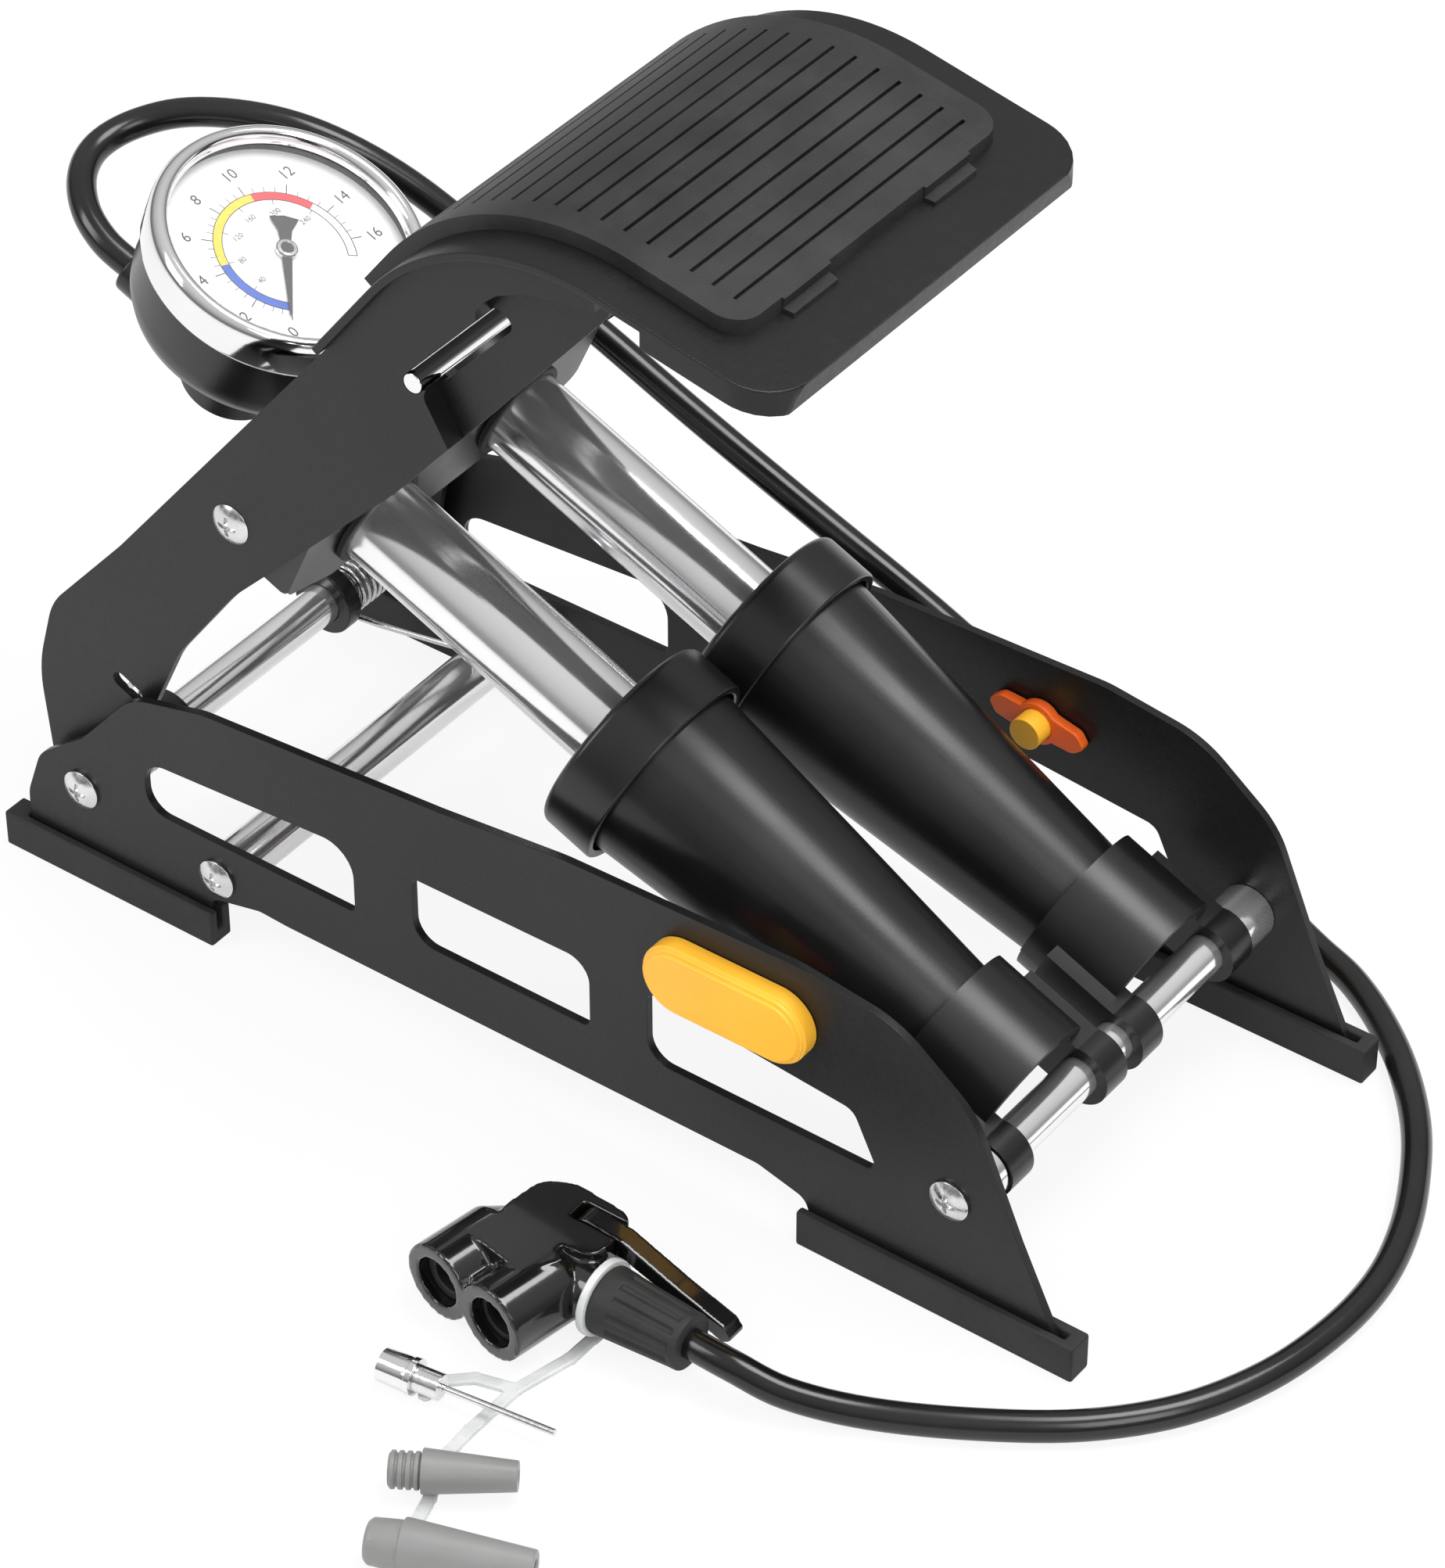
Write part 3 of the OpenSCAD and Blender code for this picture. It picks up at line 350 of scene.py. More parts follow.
def ink(name, colour):
    f = Finish(name)
    fleck = f.noise(1500, 3)
    return f.surface(
        Base_Color=f.mix(f.fit(fleck, 0.35, 0.7, 0, 1), colour, shade(colour, 1.25)),
        Roughness=f.fit(fleck, 0.3, 0.7, 0.4, 0.5),
    )


def clear_lens():
    f = Finish("clear_lens")
    smear = f.noise(90, 3)
    return f.surface(
        Base_Color=(1, 1, 1, 1),
        Roughness=f.fit(smear, 0.3, 0.7, 0.02, 0.06),
        Alpha=0.06,
        Specular_IOR_Level=0.5,
    )


def strap_plastic():
    f = Finish("strap_plastic")
    cloud = f.noise(150, 3)
    return f.surface(
        Base_Color=f.mix(f.fit(cloud, 0.3, 0.7, 0, 1), (0.55, 0.56, 0.56), (0.66, 0.67, 0.67)),
        Roughness=f.fit(cloud, 0.3, 0.7, 0.2, 0.32),
        Subsurface_Weight=0.3,
        Subsurface_Radius=(0.002, 0.002, 0.002),
    )


FINISHES = {}


def finish(slot):
    """The material of a slot in the record, or of a look that one of its pieces has, made once."""
    c = bpy.context.scene.pump_colours
    makers = {
        "black_sheet": lambda: powder_coat(c),
        "foot_rubber": lambda: rubber(c),
        "tread_rubber": lambda: rubber(c, "tread_rubber", 1.0, 0.5),
        "chrome": lambda: chrome(c),
        "silver": lambda: silver(c),
        "zinc": lambda: bright_steel(c, "zinc_plate", 0.85, 0.2),
        "spring_steel": lambda: bright_steel(c, "spring_wire", 0.75, 0.25),
        "black_plastic": lambda: black_plastic(c),
        "gloss_black": lambda: gloss_plastic(c),
        "latch_yellow": lambda: coloured_plastic("knob_yellow", c.knob, 0.36, 0.1),
        "latch_orange": lambda: coloured_plastic("wing_orange", c.wing, 0.36, 0.1),
        "hose_rubber": lambda: hose_rubber(c),
        "seal_rubber": lambda: rubber(c, "soft_rubber", 0.9, 0.6),
        "piston_white": lambda: coloured_plastic("piston_white", (0.8, 0.79, 0.74), 0.4, 0.2),
        "dial_white": lambda: printed_dial(c),
        "needle_black": lambda: ink("needle_paint", (0.01, 0.01, 0.01)),
        "clear_lens": clear_lens,
        "adapter_grey": lambda: coloured_plastic("adapter_grey", c.adapter, 0.42, 0.1),
        "strap_clear": strap_plastic,
        "needle_steel": lambda: bright_steel(c, "nickel_plate", 0.95, 0.16),
    }
    if slot not in FINISHES:
        FINISHES[slot] = makers[slot]()
    return FINISHES[slot]


# ---- modelling ----


def take(*objs):
    """Selects only these objects; the first is active."""
    bpy.ops.object.select_all(action="DESELECT")
    for o in objs:
        o.select_set(True)
    bpy.context.view_layer.objects.active = objs[0]


def edit(obj, mode="FACE"):
    """Opens the object in edit mode with nothing selected."""
    take(obj)
    bpy.ops.object.mode_set(mode="EDIT")
    bpy.ops.mesh.select_mode(type=mode)
    bpy.ops.mesh.select_all(action="DESELECT")


def pick(obj, test):
    """In edit mode, selects just the faces that pass the test."""
    bpy.ops.mesh.select_all(action="DESELECT")
    bpy.ops.object.mode_set(mode="OBJECT")
    for face in obj.data.polygons:
        face.select = bool(test(face))
    bpy.ops.object.mode_set(mode="EDIT")


def apply(obj, kind, **settings):
    """Adds a modifier and applies it."""
    take(obj)
    modifier = obj.modifiers.new(kind.title(), kind)
    for key, value in settings.items():
        setattr(modifier, key, value)
    bpy.ops.object.modifier_apply(modifier=modifier.name)


def smooth(obj, degrees=35):
    take(obj)
    bpy.ops.object.shade_smooth_by_angle(angle=math.radians(degrees))


def settle(obj, matrix):
    """Moves the object by the matrix and puts its place into its mesh."""
    take(obj)
    obj.matrix_world = matrix @ obj.matrix_world
    bpy.ops.object.transform_apply(location=True, rotation=True, scale=True)


def stand_in(obj, slot, body, *nodes):
    """Gives a finished piece its material and body; it takes the place of the CAD nodes."""
    obj.data.materials.clear()
    obj.data.materials.append(finish(slot))
    if nodes:
        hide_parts(*nodes)
    if body:
        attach(obj, body)
    return obj


def copied(node):
    """A copy of a CAD node with its corners joined."""
    source = frame["nodes"][node]
    obj = bpy.data.objects.new(f"{node}_skin", source.data.copy())
    bpy.context.scene.collection.objects.link(obj)
    edit(obj)
    bpy.ops.mesh.select_all(action="SELECT")
    bpy.ops.mesh.remove_doubles(threshold=2e-6)
    bpy.ops.mesh.dissolve_limited(angle_limit=math.radians(0.5))
    bpy.ops.object.mode_set(mode="OBJECT")
    return obj


def softened(node, edge, segments=2, above=35, degrees=35, look=None):
    """A CAD node with rounded edges, in its slot's finish or in another one."""
    obj = copied(node)
    if edge:
        apply(
            obj,
            "BEVEL",
            width=edge,
            segments=segments,
            limit_method="ANGLE",
            angle_limit=math.radians(above),
            use_clamp_overlap=True,
        )
    smooth(obj, degrees)
    apply(obj, "WEIGHTED_NORMAL", mode="FACE_AREA", weight=100, keep_sharp=True)
    stand_in(obj, SLOT[node], BODY[node], node)
    if look:
        obj.data.materials[0] = finish(look)
    return obj


def moulded(node, voxel, rounds):
    """A CAD node with all its edges melted soft, as a glossy moulding's are."""
    obj = copied(node)
    apply(obj, "REMESH", mode="VOXEL", voxel_size=voxel)
    apply(obj, "SMOOTH", factor=0.5, iterations=rounds)
    take(obj)
    bpy.ops.object.shade_smooth()
    return stand_in(obj, SLOT[node], BODY[node], node)


def revolved(name, profile, steps=96):
    """A closed outline of (radius, height), spun round the Z axis."""
    bpy.ops.object.select_all(action="DESELECT")
    bpy.ops.mesh.primitive_plane_add(size=MM, location=(0, 0, 0))
    obj = bpy.context.object
    obj.name = name
    edit(obj, "VERT")
    bpy.ops.mesh.select_all(action="SELECT")
    bpy.ops.mesh.merge(type="CENTER")
    points = [Vector((r, 0, z)) for r, z in profile]
    bpy.ops.transform.translate(value=points[0])
    for a, b in zip(points, points[1:]):
        bpy.ops.mesh.extrude_region_move(TRANSFORM_OT_translate={"value": b - a})
    bpy.ops.mesh.select_all(action="SELECT")
    bpy.ops.mesh.spin(steps=steps, angle=2 * math.pi, center=(0, 0, 0), axis=(0, 0, 1))
    bpy.ops.mesh.select_all(action="SELECT")
    bpy.ops.mesh.remove_doubles(threshold=2e-6)
    bpy.ops.mesh.normals_make_consistent(inside=False)
    bpy.ops.object.mode_set(mode="OBJECT")
    return obj


def between(points, n):
    """A Catmull-Rom curve through the points, n steps from each to the next."""
    line = []
    last = len(points) - 1
    for i in range(last):
        a, b, c, d = points[max(i - 1, 0)], points[i], points[i + 1], points[min(i + 2, last)]
        for j in range(n):
            t = j / n
            square = 2 * a - 5 * b + 4 * c - d
            cube = 3 * b - a - 3 * c + d
            line.append(0.5 * (2 * b + (c - a) * t + square * t * t + cube * t**3))
    return line + [points[-1]]


def drawn(name, line, radius, sides):
    """A round tube along a line, as a mesh."""
    curve = bpy.data.curves.new(name, "CURVE")
    curve.dimensions = "3D"
    curve.bevel_depth = radius
    curve.bevel_resolution = max(1, sides // 2 - 2)
    curve.use_fill_caps = True
    spline = curve.splines.new("POLY")
    spline.points.add(len(line) - 1)
    for point, at in zip(spline.points, line):
        point.co = (*at, 1)
    obj = bpy.data.objects.new(name, curve)
    bpy.context.scene.collection.objects.link(obj)
    take(obj)
    bpy.ops.object.convert(target="MESH")
    obj = bpy.context.object
    obj.name = name
    edit(obj)
    bpy.ops.mesh.select_all(action="SELECT")
    bpy.ops.mesh.remove_doubles(threshold=1e-6)
    bpy.ops.mesh.normals_make_consistent(inside=False)
    bpy.ops.object.mode_set(mode="OBJECT")
    smooth(obj, 50)
    return obj


def length_of(line):
    return sum((b - a).length for a, b in zip(line, line[1:]))


def joined(name, objs):
    take(*objs)
    bpy.ops.object.join()
    obj = bpy.context.object
    obj.name = name
    return obj


# ---- pieces ----

STEPS = 6  # of the hose's curve from each point of its route to the next
# The hose's route in millimetres: from the gauge to the front foot, then along the floor
HOSE_UPPER = [
    (-154.2, 0, 127.7), (-162, 0, 131.2), (-170, 3, 135), (-177, 10, 138), (-180, 19, 140),
    (-177, 29, 142), (-168, 38, 144), (-153, 46, 144), (-138, 53, 140), (-122, 61, 130),
    (-102, 68, 115), (-80, 72, 103), (-50, 74, 88), (-18, 76, 73), (15, 78, 58), (45, 80, 42),
    (75, 83, 25), (99.8, 86, 12.1),
]  # fmt: skip
HOSE_LOWER = [
    (99.8, 86, 12.1), (110, 86.6, 6.4), (120, 84.5, 3.9), (131, 80.5, 3.7), (143, 73, 3.7),
    (156, 62, 3.7), (168, 48, 3.7), (177, 33, 3.7), (184, 17, 3.7), (188, 0, 3.7),
    (188, -18, 3.7), (184, -38, 3.7), (175, -57, 3.7), (161, -73, 3.7), (143, -86, 3.7),
    (123, -97, 3.8), (107, -104.5, 6.2), (95, -107.5, 9.6), (84, -107.5, 10),
]  # fmt: skip


def metres(points):
    return [Vector(p) * MM for p in points]


class PUMP_OT_hose(bpy.types.Operator):
    """Model the hose and the tapered rubber where it enters the valve head"""

    bl_idname = "pump.hose"
    bl_label = "Hose"

    def execute(self, context):
        sides = context.scene.pump_sizes.hose_sides
        upper_line = between(metres(HOSE_UPPER), STEPS)
        upper = drawn("hose_to_floor", upper_line, HOSE_D / 2, sides)
        stand_in(upper, "hose_rubber", None, "hose_upper")
        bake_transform(upper)
        length_of(upper_line)
        lower_line = between(metres(HOSE_LOWER), STEPS)
        lower = drawn("hose_on_floor", lower_line, HOSE_D / 2, sides)
        stand_in(lower, "hose_rubber", None, "hose_lower")
        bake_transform(lower)
        relief = self.relief()
        head = ["valve_body", "port_grommets", "valve_lever", "lever_pin", "adapter_strap"]
        length_of(lower_line)
        [relief] + head  # fmt: skip
        return {"FINISHED"}

    def relief(self):
        """Tapered rubber sleeve with grip flutes at its narrow end."""
        low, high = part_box("hose_relief")
        length, at = high.x - low.x, middle("hose_relief")
        wide, narrow = (high.y - low.y) / 2, 6.6 * MM
        flutes_from, flutes_to = -0.3, 0.42  # shares of the length from its middle
        bpy.ops.object.select_all(action="DESELECT")
        bpy.ops.mesh.primitive_cone_add(vertices=48, radius1=wide, radius2=narrow, depth=length)
        obj = bpy.context.object
        obj.name = "hose_sleeve"
        edit(obj)
        for z in (flutes_from, flutes_to):
            bpy.ops.mesh.select_all(action="SELECT")
            bpy.ops.mesh.bisect(plane_co=(0, 0, z * length), plane_no=(0, 0, 1))

        def flute(p):
            """Whether a face lies in a flute: every other 15 degrees between the two cuts."""
            turn = math.degrees(math.atan2(p.center.y, p.center.x)) % 30
            return abs(p.normal.z) < 0.5 and -0.2 * length < p.center.z < flutes_to * length and turn < 15

        pick(obj, flute)
        bpy.ops.mesh.inset(thickness=0.5 * MM, depth=-0.75 * MM, use_even_offset=True)
        pick(obj, lambda p: p.normal.z > 0.9)
        bpy.ops.mesh.inset(thickness=narrow - HOSE_D / 2 - 0.2 * MM)
        bpy.ops.object.mode_set(mode="OBJECT")
        apply(obj, "BEVEL", width=0.35 * MM, segments=2, limit_method="ANGLE", angle_limit=math.radians(30))
        settle(obj, Matrix.Translation((at.x, at.y, at.z)) @ Matrix.Rotation(math.pi / 2, 4, "Y"))
        smooth(obj, 40)
        return stand_in(obj, "seal_rubber", "base", "hose_relief")


class PUMP_OT_sheet_metal(bpy.types.Operator):
    """Round the edges of the side plates, pedal arms and pedal deck"""

    bl_idname = "pump.sheet_metal"
    bl_label = "Sheet metal"

    def execute(self, context):
        edge = context.scene.pump_sizes.sheet_edge
        for node in ("side_plate_near", "side_plate_far", "arm_near", "arm_far", "pedal_deck"):
            softened(node, edge, 2, 40, 30)
        return {"FINISHED"}


class PUMP_OT_rubber(bpy.types.Operator):
    """Feet and pedal tread"""

    bl_idname = "pump.rubber"
    bl_label = "Feet and tread"

    def execute(self, context):
        for node in ("foot_heel_near", "foot_heel_far", "foot_front_near", "foot_front_far"):
            softened(node, 0.7 * MM, 3)
        softened("tread_pad", 0.25 * MM, 2, 30, 30)
        return {"FINISHED"}


class PUMP_OT_bright_tubes(bpy.types.Operator):
    """Chromed tubes, cylinders, pins and screws"""

    bl_idname = "pump.bright_tubes"
    bl_label = "Bright metal"

    def execute(self, context):
        for node in ("hinge_tube", "tie_tube", "front_axle", "axle_bushes", "cylinder_near", "cylinder_far"):
            softened(node, 0.3 * MM, 2, look="silver")
        for node in ("lock_pin", "frame_screws", "pivot_pins"):
            softened(node, 0.25 * MM, 2)
        return {"FINISHED"}


class PUMP_OT_springs(bpy.types.Operator):
    """Wire return springs round the hinge tube"""

    bl_idname = "pump.springs"
    bl_label = "Return springs"

    def execute(self, context):
        wire = context.scene.pump_sizes.wire_d
        coil, pitch, first = 6.3 * MM, 2.05 * MM, 34 * MM  # radius, rise of a turn, distance from the middle
        span = 6 * 360 + 135  # turns, in degrees
        slot = Vector((-114.5, 0, 58.5)) * MM  # in the arm, where the far leg ends

        def coil_point(a):
            t = math.radians(-90 - a)
            return HINGE + Vector((coil * math.cos(t), first + pitch * a / 360, coil * math.sin(t)))

        end = coil_point(span).y
        arm_y = 53.2 * MM  # of the leg's tip
        tie_top = 6 * MM + wire / 2  # just over the tie tube
        line = [
            TIE + Vector((8 * MM, first - 0.6 * MM, tie_top + 0.8 * MM)),
            TIE + Vector((0, first - 0.5 * MM, tie_top + 0.3 * MM)),
            HINGE + Vector((12 * MM, first - 0.2 * MM, -coil + 1.4 * MM)),
        ]
        line += [coil_point(a) for a in range(0, span + 1, 15)]
        line += [
            slot + Vector((-3 * MM, end + 0.3 * MM, -9 * MM)),
            slot + Vector((-0.5 * MM, end + 0.8 * MM, -1.5 * MM)),
            slot + Vector((0, end + 3 * MM, 0)),
            slot + Vector((0, arm_y, 0)),
        ]
        for side, flip in (("far", 1), ("near", -1)):
            path = [Vector((p.x, p.y * flip, p.z)) for p in line]
            obj = drawn(f"return_spring_{side}_wire", path, wire / 2, 10)
            stand_in(obj, "spring_steel", None, f"return_spring_{side}")
            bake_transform(obj)
        for node in ("spring_bushes", "hinge_spacers"):
            softened(node, 0.4 * MM, 2)
        return {"FINISHED"}


class PUMP_OT_pump_unit(bpy.types.Operator):
    """Pump head, barrels, collars, end caps and what runs inside them"""

    bl_idname = "pump.pump_unit"
    bl_label = "Pump unit"

    def execute(self, context):
        softened("pump_head", 0.5 * MM, 2)
        for side in ("near", "far"):
            softened(f"barrel_{side}", 0.4 * MM, 2)
            softened(f"collar_{side}", 0.7 * MM, 3)
            softened(f"end_cap_{side}", 0.6 * MM, 2)
        for node in ("cylinder_glands", "check_valves", "piston_rods", "pistons", "piston_seals"):
            softened(node, 0.2 * MM, 1)
        return {"FINISHED"}


class PUMP_OT_gauge(bpy.types.Operator):
    """Pressure gauge with its printed dial"""

    bl_idname = "pump.gauge"
    bl_label = "Gauge"

    def execute(self, context):
        self.bezel()
        self.cup()
        for node, edge in (("gauge_stem", 1.2), ("hose_nut", 0.8), ("gauge_dial", 0), ("gauge_lens", 0.1)):
            softened(node, edge * MM, 2)
        softened("gauge_needle", 0.08 * MM, 1)
        self.dial_print(context.scene.pump_sizes.print_height)
        return {"FINISHED"}

    def bezel(self):
        """Rolled bright ring: bead at the top, band below, wall down to the glass."""
        profile = [
            (31.1, 13), (31.9, 13), (32.35, 13.4), (32.5, 14.2), (32.5, 17.5), (32.45, 19.6),
            (32.2, 21.2), (31.6, 22.5), (30.8, 23.2), (29.9, 23.5), (29.0, 23.2), (28.4, 22.5),
            (28.1, 21.6), (28.0, 20.3), (31.1, 20.3), (31.1, 13),
        ]  # fmt: skip
        obj = revolved("gauge_ring", [(r * MM, z * MM) for r, z in profile], 128)
        settle(obj, GAUGE)
        smooth(obj, 50)
        stand_in(obj, "chrome", "head", "gauge_bezel")

    def cup(self):
        """Round-bottomed case with a thin wall."""
        profile = [
            (0, -9), (20, -9), (24, -8.6), (27.2, -7.2), (29.4, -5), (30.6, -2.2), (31, 1), (31, 18.8),
            (29, 18.8), (29, -5), (0, -5),
        ]  # fmt: skip
        obj = revolved("gauge_case", [(r * MM, z * MM) for r, z in profile], 96)
        settle(obj, GAUGE)
        smooth(obj, 50)
        stand_in(obj, "black_plastic", "head", "gauge_cup")

    def strip(self, name, r0, r1, a0, a1, height, steps):
        """Flat ring sector on the dial, from radius r0 to r1 in millimetres and angle a0 to a1 in degrees."""
        bpy.ops.object.select_all(action="DESELECT")
        bpy.ops.mesh.primitive_plane_add(size=MM, location=(0, 0, 0))
        obj = bpy.context.object
        obj.name = name
        edit(obj, "VERT")
        bpy.ops.mesh.select_all(action="SELECT")
        bpy.ops.mesh.merge(type="CENTER")
        turn = math.radians(a0)
        way = Vector((math.cos(turn), math.sin(turn), 0))
        bpy.ops.transform.translate(value=way * r0 * MM)
        bpy.ops.mesh.extrude_region_move(TRANSFORM_OT_translate={"value": way * (r1 - r0) * MM})
        bpy.ops.mesh.select_all(action="SELECT")
        bpy.ops.mesh.spin(steps=steps, angle=math.radians(a0 - a1), center=(0, 0, 0), axis=(0, 0, 1))
        bpy.ops.mesh.select_all(action="SELECT")
        bpy.ops.mesh.remove_doubles(threshold=1e-7)
        bpy.ops.mesh.normals_make_consistent(inside=False)
        bpy.ops.mesh.extrude_region_move(TRANSFORM_OT_translate={"value": (0, 0, height)})
        bpy.ops.mesh.select_all(action="SELECT")
        bpy.ops.mesh.normals_make_consistent(inside=False)
        bpy.ops.object.mode_set(mode="OBJECT")
        return obj

    def number(self, text, r, angle, size, height):
        """A number of the scale at radius r; sizes in millimetres, but the height in metres."""
        bpy.ops.object.select_all(action="DESELECT")
        turn = math.radians(angle)
        at = Vector((math.cos(turn), math.sin(turn), 0)) * r * MM
        bpy.ops.object.text_add(location=at, rotation=(0, 0, math.pi / 2))
        obj = bpy.context.object
        obj.data.body = text
        obj.data.size = size * MM
        obj.data.align_x = "CENTER"
        obj.data.align_y = "CENTER"
        obj.data.extrude = height / 2
        obj.data.resolution_u = 3
        bpy.ops.object.convert(target="MESH")
        obj = bpy.context.object
        bpy.ops.object.transform_apply(location=True, rotation=True, scale=True)
        return obj

    def dial_print(self, height):
        at = GAUGE @ Matrix.Translation((0, 0, DIAL_Z))
        start, end = -44, -310  # of the scale, in degrees
        band_in, band_out = 14.7, 16.6  # radii of the coloured band
        line_in, line_out = 14.5, 16.8  # radii of the thin lines round it
        line_height = height * 1.1
        bands = (
            ("blue", start, -111, (0.012, 0.09, 0.5)),
            ("yellow", -111, -199, (0.86, 0.56, 0.02)),
            ("red", -199, -251, (0.72, 0.02, 0.03)),
        )
        for name, a0, a1, colour in bands:
            band = self.strip(f"dial_band_{name}", band_in, band_out, a0, a1, height, 40)
            settle(band, at)
            band.data.materials.append(ink(f"ink_{name}", colour))
            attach(band, "head")
        marks = [
            self.strip("line", line_in, band_in, start, end, line_height, 120),
            self.strip("line", band_out, line_out, start, end, line_height, 120),
            self.strip("end", line_in, line_out, end + 0.6, end, line_height, 2),
        ]
        # degrees at which each number stands, on the outer and the inner scale
        scale = {0: start, 2: -72, 4: -104, 6: -135, 8: -164, 10: -194, 12: -229, 14: -263.5, 16: -293}
        for value, angle in scale.items():
            marks.append(self.strip("tick", line_out, 19.4, angle - 0.35, angle + 0.35, height, 2))
            marks.append(self.number(str(value), 22.8, angle, 4.0, height))
            if value + 2 in scale:
                for k in (1, 2, 3):
                    a = angle + (scale[value + 2] - angle) * k / 4
                    marks.append(self.strip("tick", line_out, 18.2, a - 0.22, a + 0.22, height, 2))
        inner = {0: start, 40: -78, 80: -112, 120: -146, 160: -181, 200: -216, 240: -253}
        for value, angle in inner.items():
            marks.append(self.number(str(value), 11.0, angle, 2.0, height))
            marks.append(self.strip("tick", 13.2, line_in, angle - 0.3, angle + 0.3, height, 2))
        marks_piece = joined("dial_marks", marks)
        settle(marks_piece, at)
        marks_piece.data.materials.clear()
        marks_piece.data.materials.append(ink("ink_black", (0.012, 0.012, 0.014)))
        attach(marks_piece, "head")
        profile = [(0, 0.3), (2.6, 0.3), (2.6, 1.1), (2.3, 1.4), (1.6, 1.45), (1.3, 1.2), (0, 1.2)]
        hub = revolved("needle_hub", [(r * MM, z * MM) for r, z in profile], 48)
        settle(hub, at)
        smooth(hub, 40)
        stand_in(hub, "zinc", "needle")


class PUMP_OT_latches(bpy.types.Operator):
    """Yellow latch knobs and the orange wings behind the side plates"""

    bl_idname = "pump.latches"
    bl_label = "Latches"

    def execute(self, context):
        for side in ("near", "far"):
            softened(f"latch_knob_{side}", 1.1 * MM, 4)
            softened(f"latch_wing_{side}", 0.5 * MM, 2)
        return {"FINISHED"}


class PUMP_OT_valve_head(bpy.types.Operator):
    """Two-port valve head with its lever"""

    bl_idname = "pump.valve_head"
    bl_label = "Valve head"

    def execute(self, context):
        moulded("valve_body", 0.4 * MM, 6)
        softened("port_grommets", 0.4 * MM, 2)
        moulded("valve_lever", 0.3 * MM, 4)
        softened("lever_pin", 0.2 * MM, 2)
        return {"FINISHED"}


class PUMP_OT_adapters(bpy.types.Operator):
    """Ball needle, two nozzles and the moulded strap that holds them"""

    bl_idname = "pump.adapters"
    bl_label = "Adapters"

    def execute(self, context):
        for node, edge in (
            ("ball_needle", 0.2), ("ball_needle_cap", 0.3), ("nozzle_small", 0.3), ("nozzle_large", 0.5),
        ):  # fmt: skip
            softened(node, edge * MM, 2)
        moulded("adapter_strap", 0.25 * MM, 6)
        return {"FINISHED"}


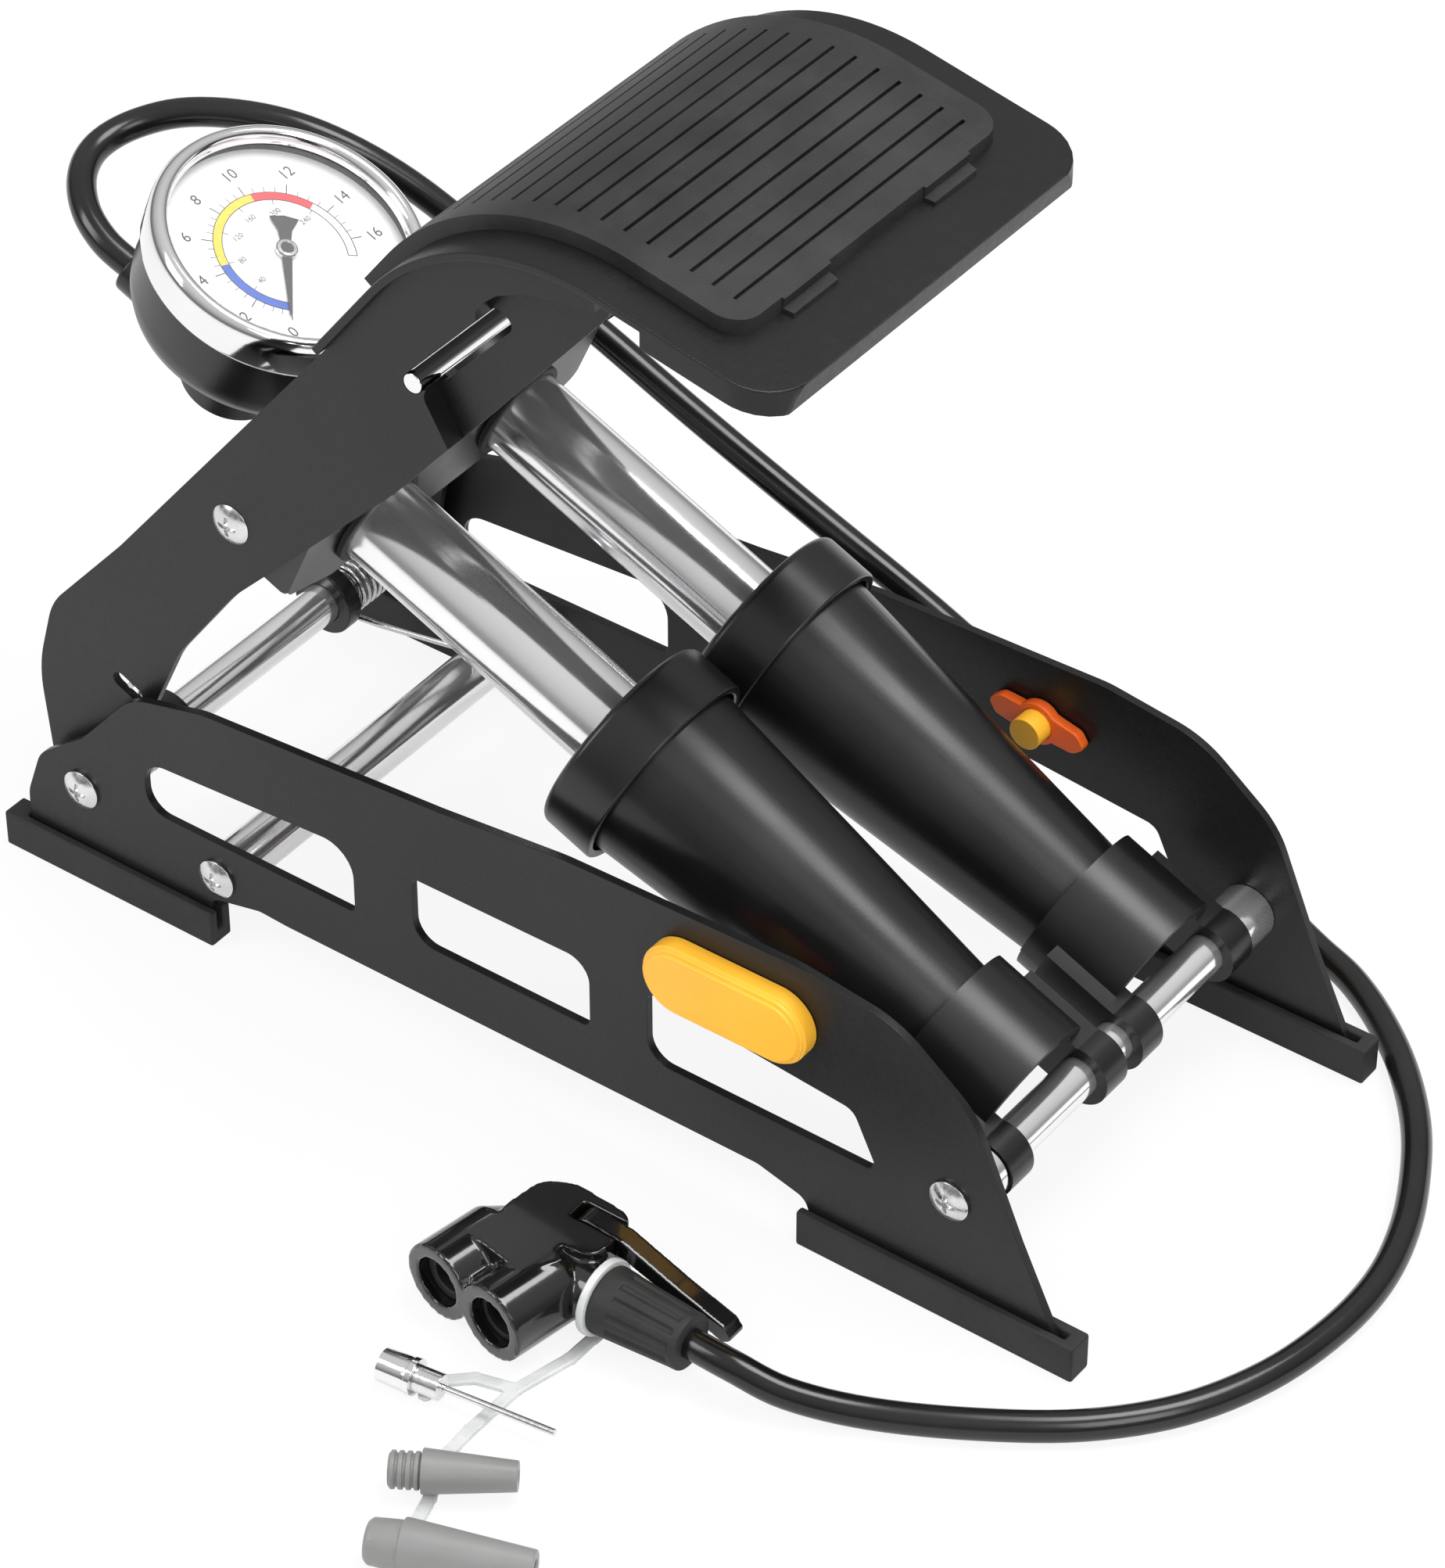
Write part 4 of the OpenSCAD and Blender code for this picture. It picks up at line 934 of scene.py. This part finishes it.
class PUMP_OT_stage(bpy.types.Operator):
    """Camera, floor, lamps and world"""

    bl_idname = "pump.stage"
    bl_label = "Stage"
    AROUND = 0.72  # level of the surround
    LIT = Vector((0, 0, 0.08))  # the point that the lamps face
    # what surfaces mirror: grey levels from straight down (0) to straight up (1)
    ROOM = ((0.0, 0.75), (0.49, 0.75), (0.51, 0.18), (0.6, 0.24), (0.72, 0.5), (1.0, 0.75))
    # name, place, size and power of each lamp, in metres and watts
    LAMPS = (
        ("softbox_top", (0.4, 0.32, 1.65), (0.8, 0.8), 17),
        ("softbox_left", (-1.0, -1.2, 1.2), (0.6, 1.2), 13),
        ("softbox_right", (1.4, -0.7, 1.3), (0.8, 1.0), 11),
    )

    def execute(self, context):
        self.camera(context)
        self.floor()
        self.lamps()
        self.world(context)
        context.scene.view_settings.view_transform = "Standard"
        return {"FINISHED"}

    def camera(self, context):
        turn, rise = math.radians(AZIMUTH), math.radians(ELEVATION)
        flat = math.cos(rise)
        towards = Vector((-math.sin(turn) * flat, math.cos(turn) * flat, -math.sin(rise)))
        data = bpy.data.cameras.new("camera")
        data.sensor_width = SENSOR_WIDTH
        data.lens = FOCAL_PIXELS * SENSOR_WIDTH / PHOTO_HEIGHT
        data.clip_start = 0.05
        camera = bpy.data.objects.new("camera", data)
        camera.location = TARGET - towards * DISTANCE
        camera.rotation_mode = "QUATERNION"
        camera.rotation_quaternion = towards.to_track_quat("-Z", "Y")
        context.scene.collection.objects.link(camera)
        context.scene.camera = camera

    def floor(self):
        """Plain pale floor that the camera sees nearly white."""
        bpy.ops.object.select_all(action="DESELECT")
        bpy.ops.mesh.primitive_plane_add(size=12, location=(0, 0, 0))
        plane = bpy.context.object
        plane.name = "floor"
        f = Finish("pale_floor")
        speck = f.noise(300, 3)
        colour = f.mix(speck, (0.84, 0.84, 0.84), (0.86, 0.86, 0.86))
        plain = f.add(
            "ShaderNodeBsdfPrincipled",
            None,
            {"Base Color": colour, "Roughness": 0.6, "Specular IOR Level": 0.2},
        )
        white = f.add("ShaderNodeEmission", None, {"Color": (1, 1, 1, 1), "Strength": 1.0})
        ray = f.add("ShaderNodeLightPath", out="Is Camera Ray")
        glossy = f.add("ShaderNodeLightPath", out="Is Glossy Ray")
        through = f.add("ShaderNodeLightPath", out="Is Transmission Ray")
        glow = ray * 0.88 + glossy * 0.5 + through * 0.5
        share = f.add("ShaderNodeMath", {"operation": "MINIMUM"}, {0: glow, 1: 1.0})
        mixed = f.add("ShaderNodeMixShader", None, {0: share, 1: plain, 2: white})
        f.add("ShaderNodeOutputMaterial", None, {"Surface": mixed})
        plane.data.materials.append(f.material)

    def lamps(self):
        for name, at, size, power in self.LAMPS:
            data = bpy.data.lights.new(name, "AREA")
            data.shape = "RECTANGLE"
            data.size, data.size_y = size
            data.energy = power
            lamp = bpy.data.objects.new(name, data)
            lamp.location = at
            lamp.rotation_mode = "QUATERNION"
            lamp.rotation_quaternion = (self.LIT - Vector(at)).to_track_quat("-Z", "Y")
            bpy.context.scene.collection.objects.link(lamp)

    def world(self, context):
        """White to the camera, a studio room to bright surfaces and an even grey to all else."""
        world = bpy.data.worlds.new("studio")
        context.scene.world = world
        world.use_nodes = True
        tree = world.node_tree
        tree.nodes.clear()
        out = tree.nodes.new("ShaderNodeOutputWorld")
        back = tree.nodes.new("ShaderNodeBackground")
        path = tree.nodes.new("ShaderNodeLightPath")
        way = tree.nodes.new("ShaderNodeTexCoord")
        rise = tree.nodes.new("ShaderNodeSeparateXYZ")
        room = tree.nodes.new("ShaderNodeValToRGB")
        for i, (at, grey) in enumerate(self.ROOM):
            element = room.color_ramp.elements[i] if i < 2 else room.color_ramp.elements.new(at)
            element.position, element.color = at, (grey, grey, grey, 1)
        lift = tree.nodes.new("ShaderNodeMapRange")
        lift.inputs["From Min"].default_value = -1
        plain = tree.nodes.new("ShaderNodeMix")
        plain.data_type = "RGBA"
        plain.inputs[6].default_value = (self.AROUND, self.AROUND, self.AROUND, 1)
        seen = tree.nodes.new("ShaderNodeMix")
        seen.data_type = "RGBA"
        seen.inputs[7].default_value = (1, 1, 1, 1)
        for source, target in (
            (way.outputs["Generated"], rise.inputs[0]),
            (rise.outputs["Z"], lift.inputs["Value"]),
            (lift.outputs[0], room.inputs[0]),
            (path.outputs["Is Glossy Ray"], plain.inputs[0]),
            (room.outputs[0], plain.inputs[7]),
            (path.outputs["Is Camera Ray"], seen.inputs[0]),
            (plain.outputs[2], seen.inputs[6]),
            (seen.outputs[2], back.inputs["Color"]),
            (back.outputs[0], out.inputs[0]),
        ):
            tree.links.new(source, target)


ORDER = (
    PUMP_OT_stage, PUMP_OT_hose, PUMP_OT_sheet_metal, PUMP_OT_rubber, PUMP_OT_bright_tubes, PUMP_OT_springs,
    PUMP_OT_pump_unit, PUMP_OT_gauge, PUMP_OT_latches, PUMP_OT_valve_head, PUMP_OT_adapters,
)  # fmt: skip


class PUMP_PT_pieces(bpy.types.Panel):
    """Lists the pieces and their settings"""

    bl_idname = "PUMP_PT_pieces"
    bl_label = "Foot pump"
    bl_space_type = "VIEW_3D"
    bl_region_type = "UI"
    bl_category = "Foot pump"

    def draw(self, context):
        for group in (context.scene.pump_sizes, context.scene.pump_colours):
            for key in group.__annotations__:
                self.layout.prop(group, key)
        for operator in ORDER:
            self.layout.operator(operator.bl_idname)


CLASSES = (PumpSizes, PumpColours, *ORDER, PUMP_PT_pieces)


def register():
    for c in CLASSES:
        bpy.utils.register_class(c)
    bpy.types.Scene.pump_sizes = PointerProperty(type=PumpSizes)
    bpy.types.Scene.pump_colours = PointerProperty(type=PumpColours)


def unregister():
    del bpy.types.Scene.pump_colours
    del bpy.types.Scene.pump_sizes
    for c in reversed(CLASSES):
        bpy.utils.unregister_class(c)


def main():
    register()
    for operator in ORDER:
        group, name = operator.bl_idname.split(".")
        getattr(getattr(bpy.ops, group), name)()


if __name__ == "__main__":
    main()
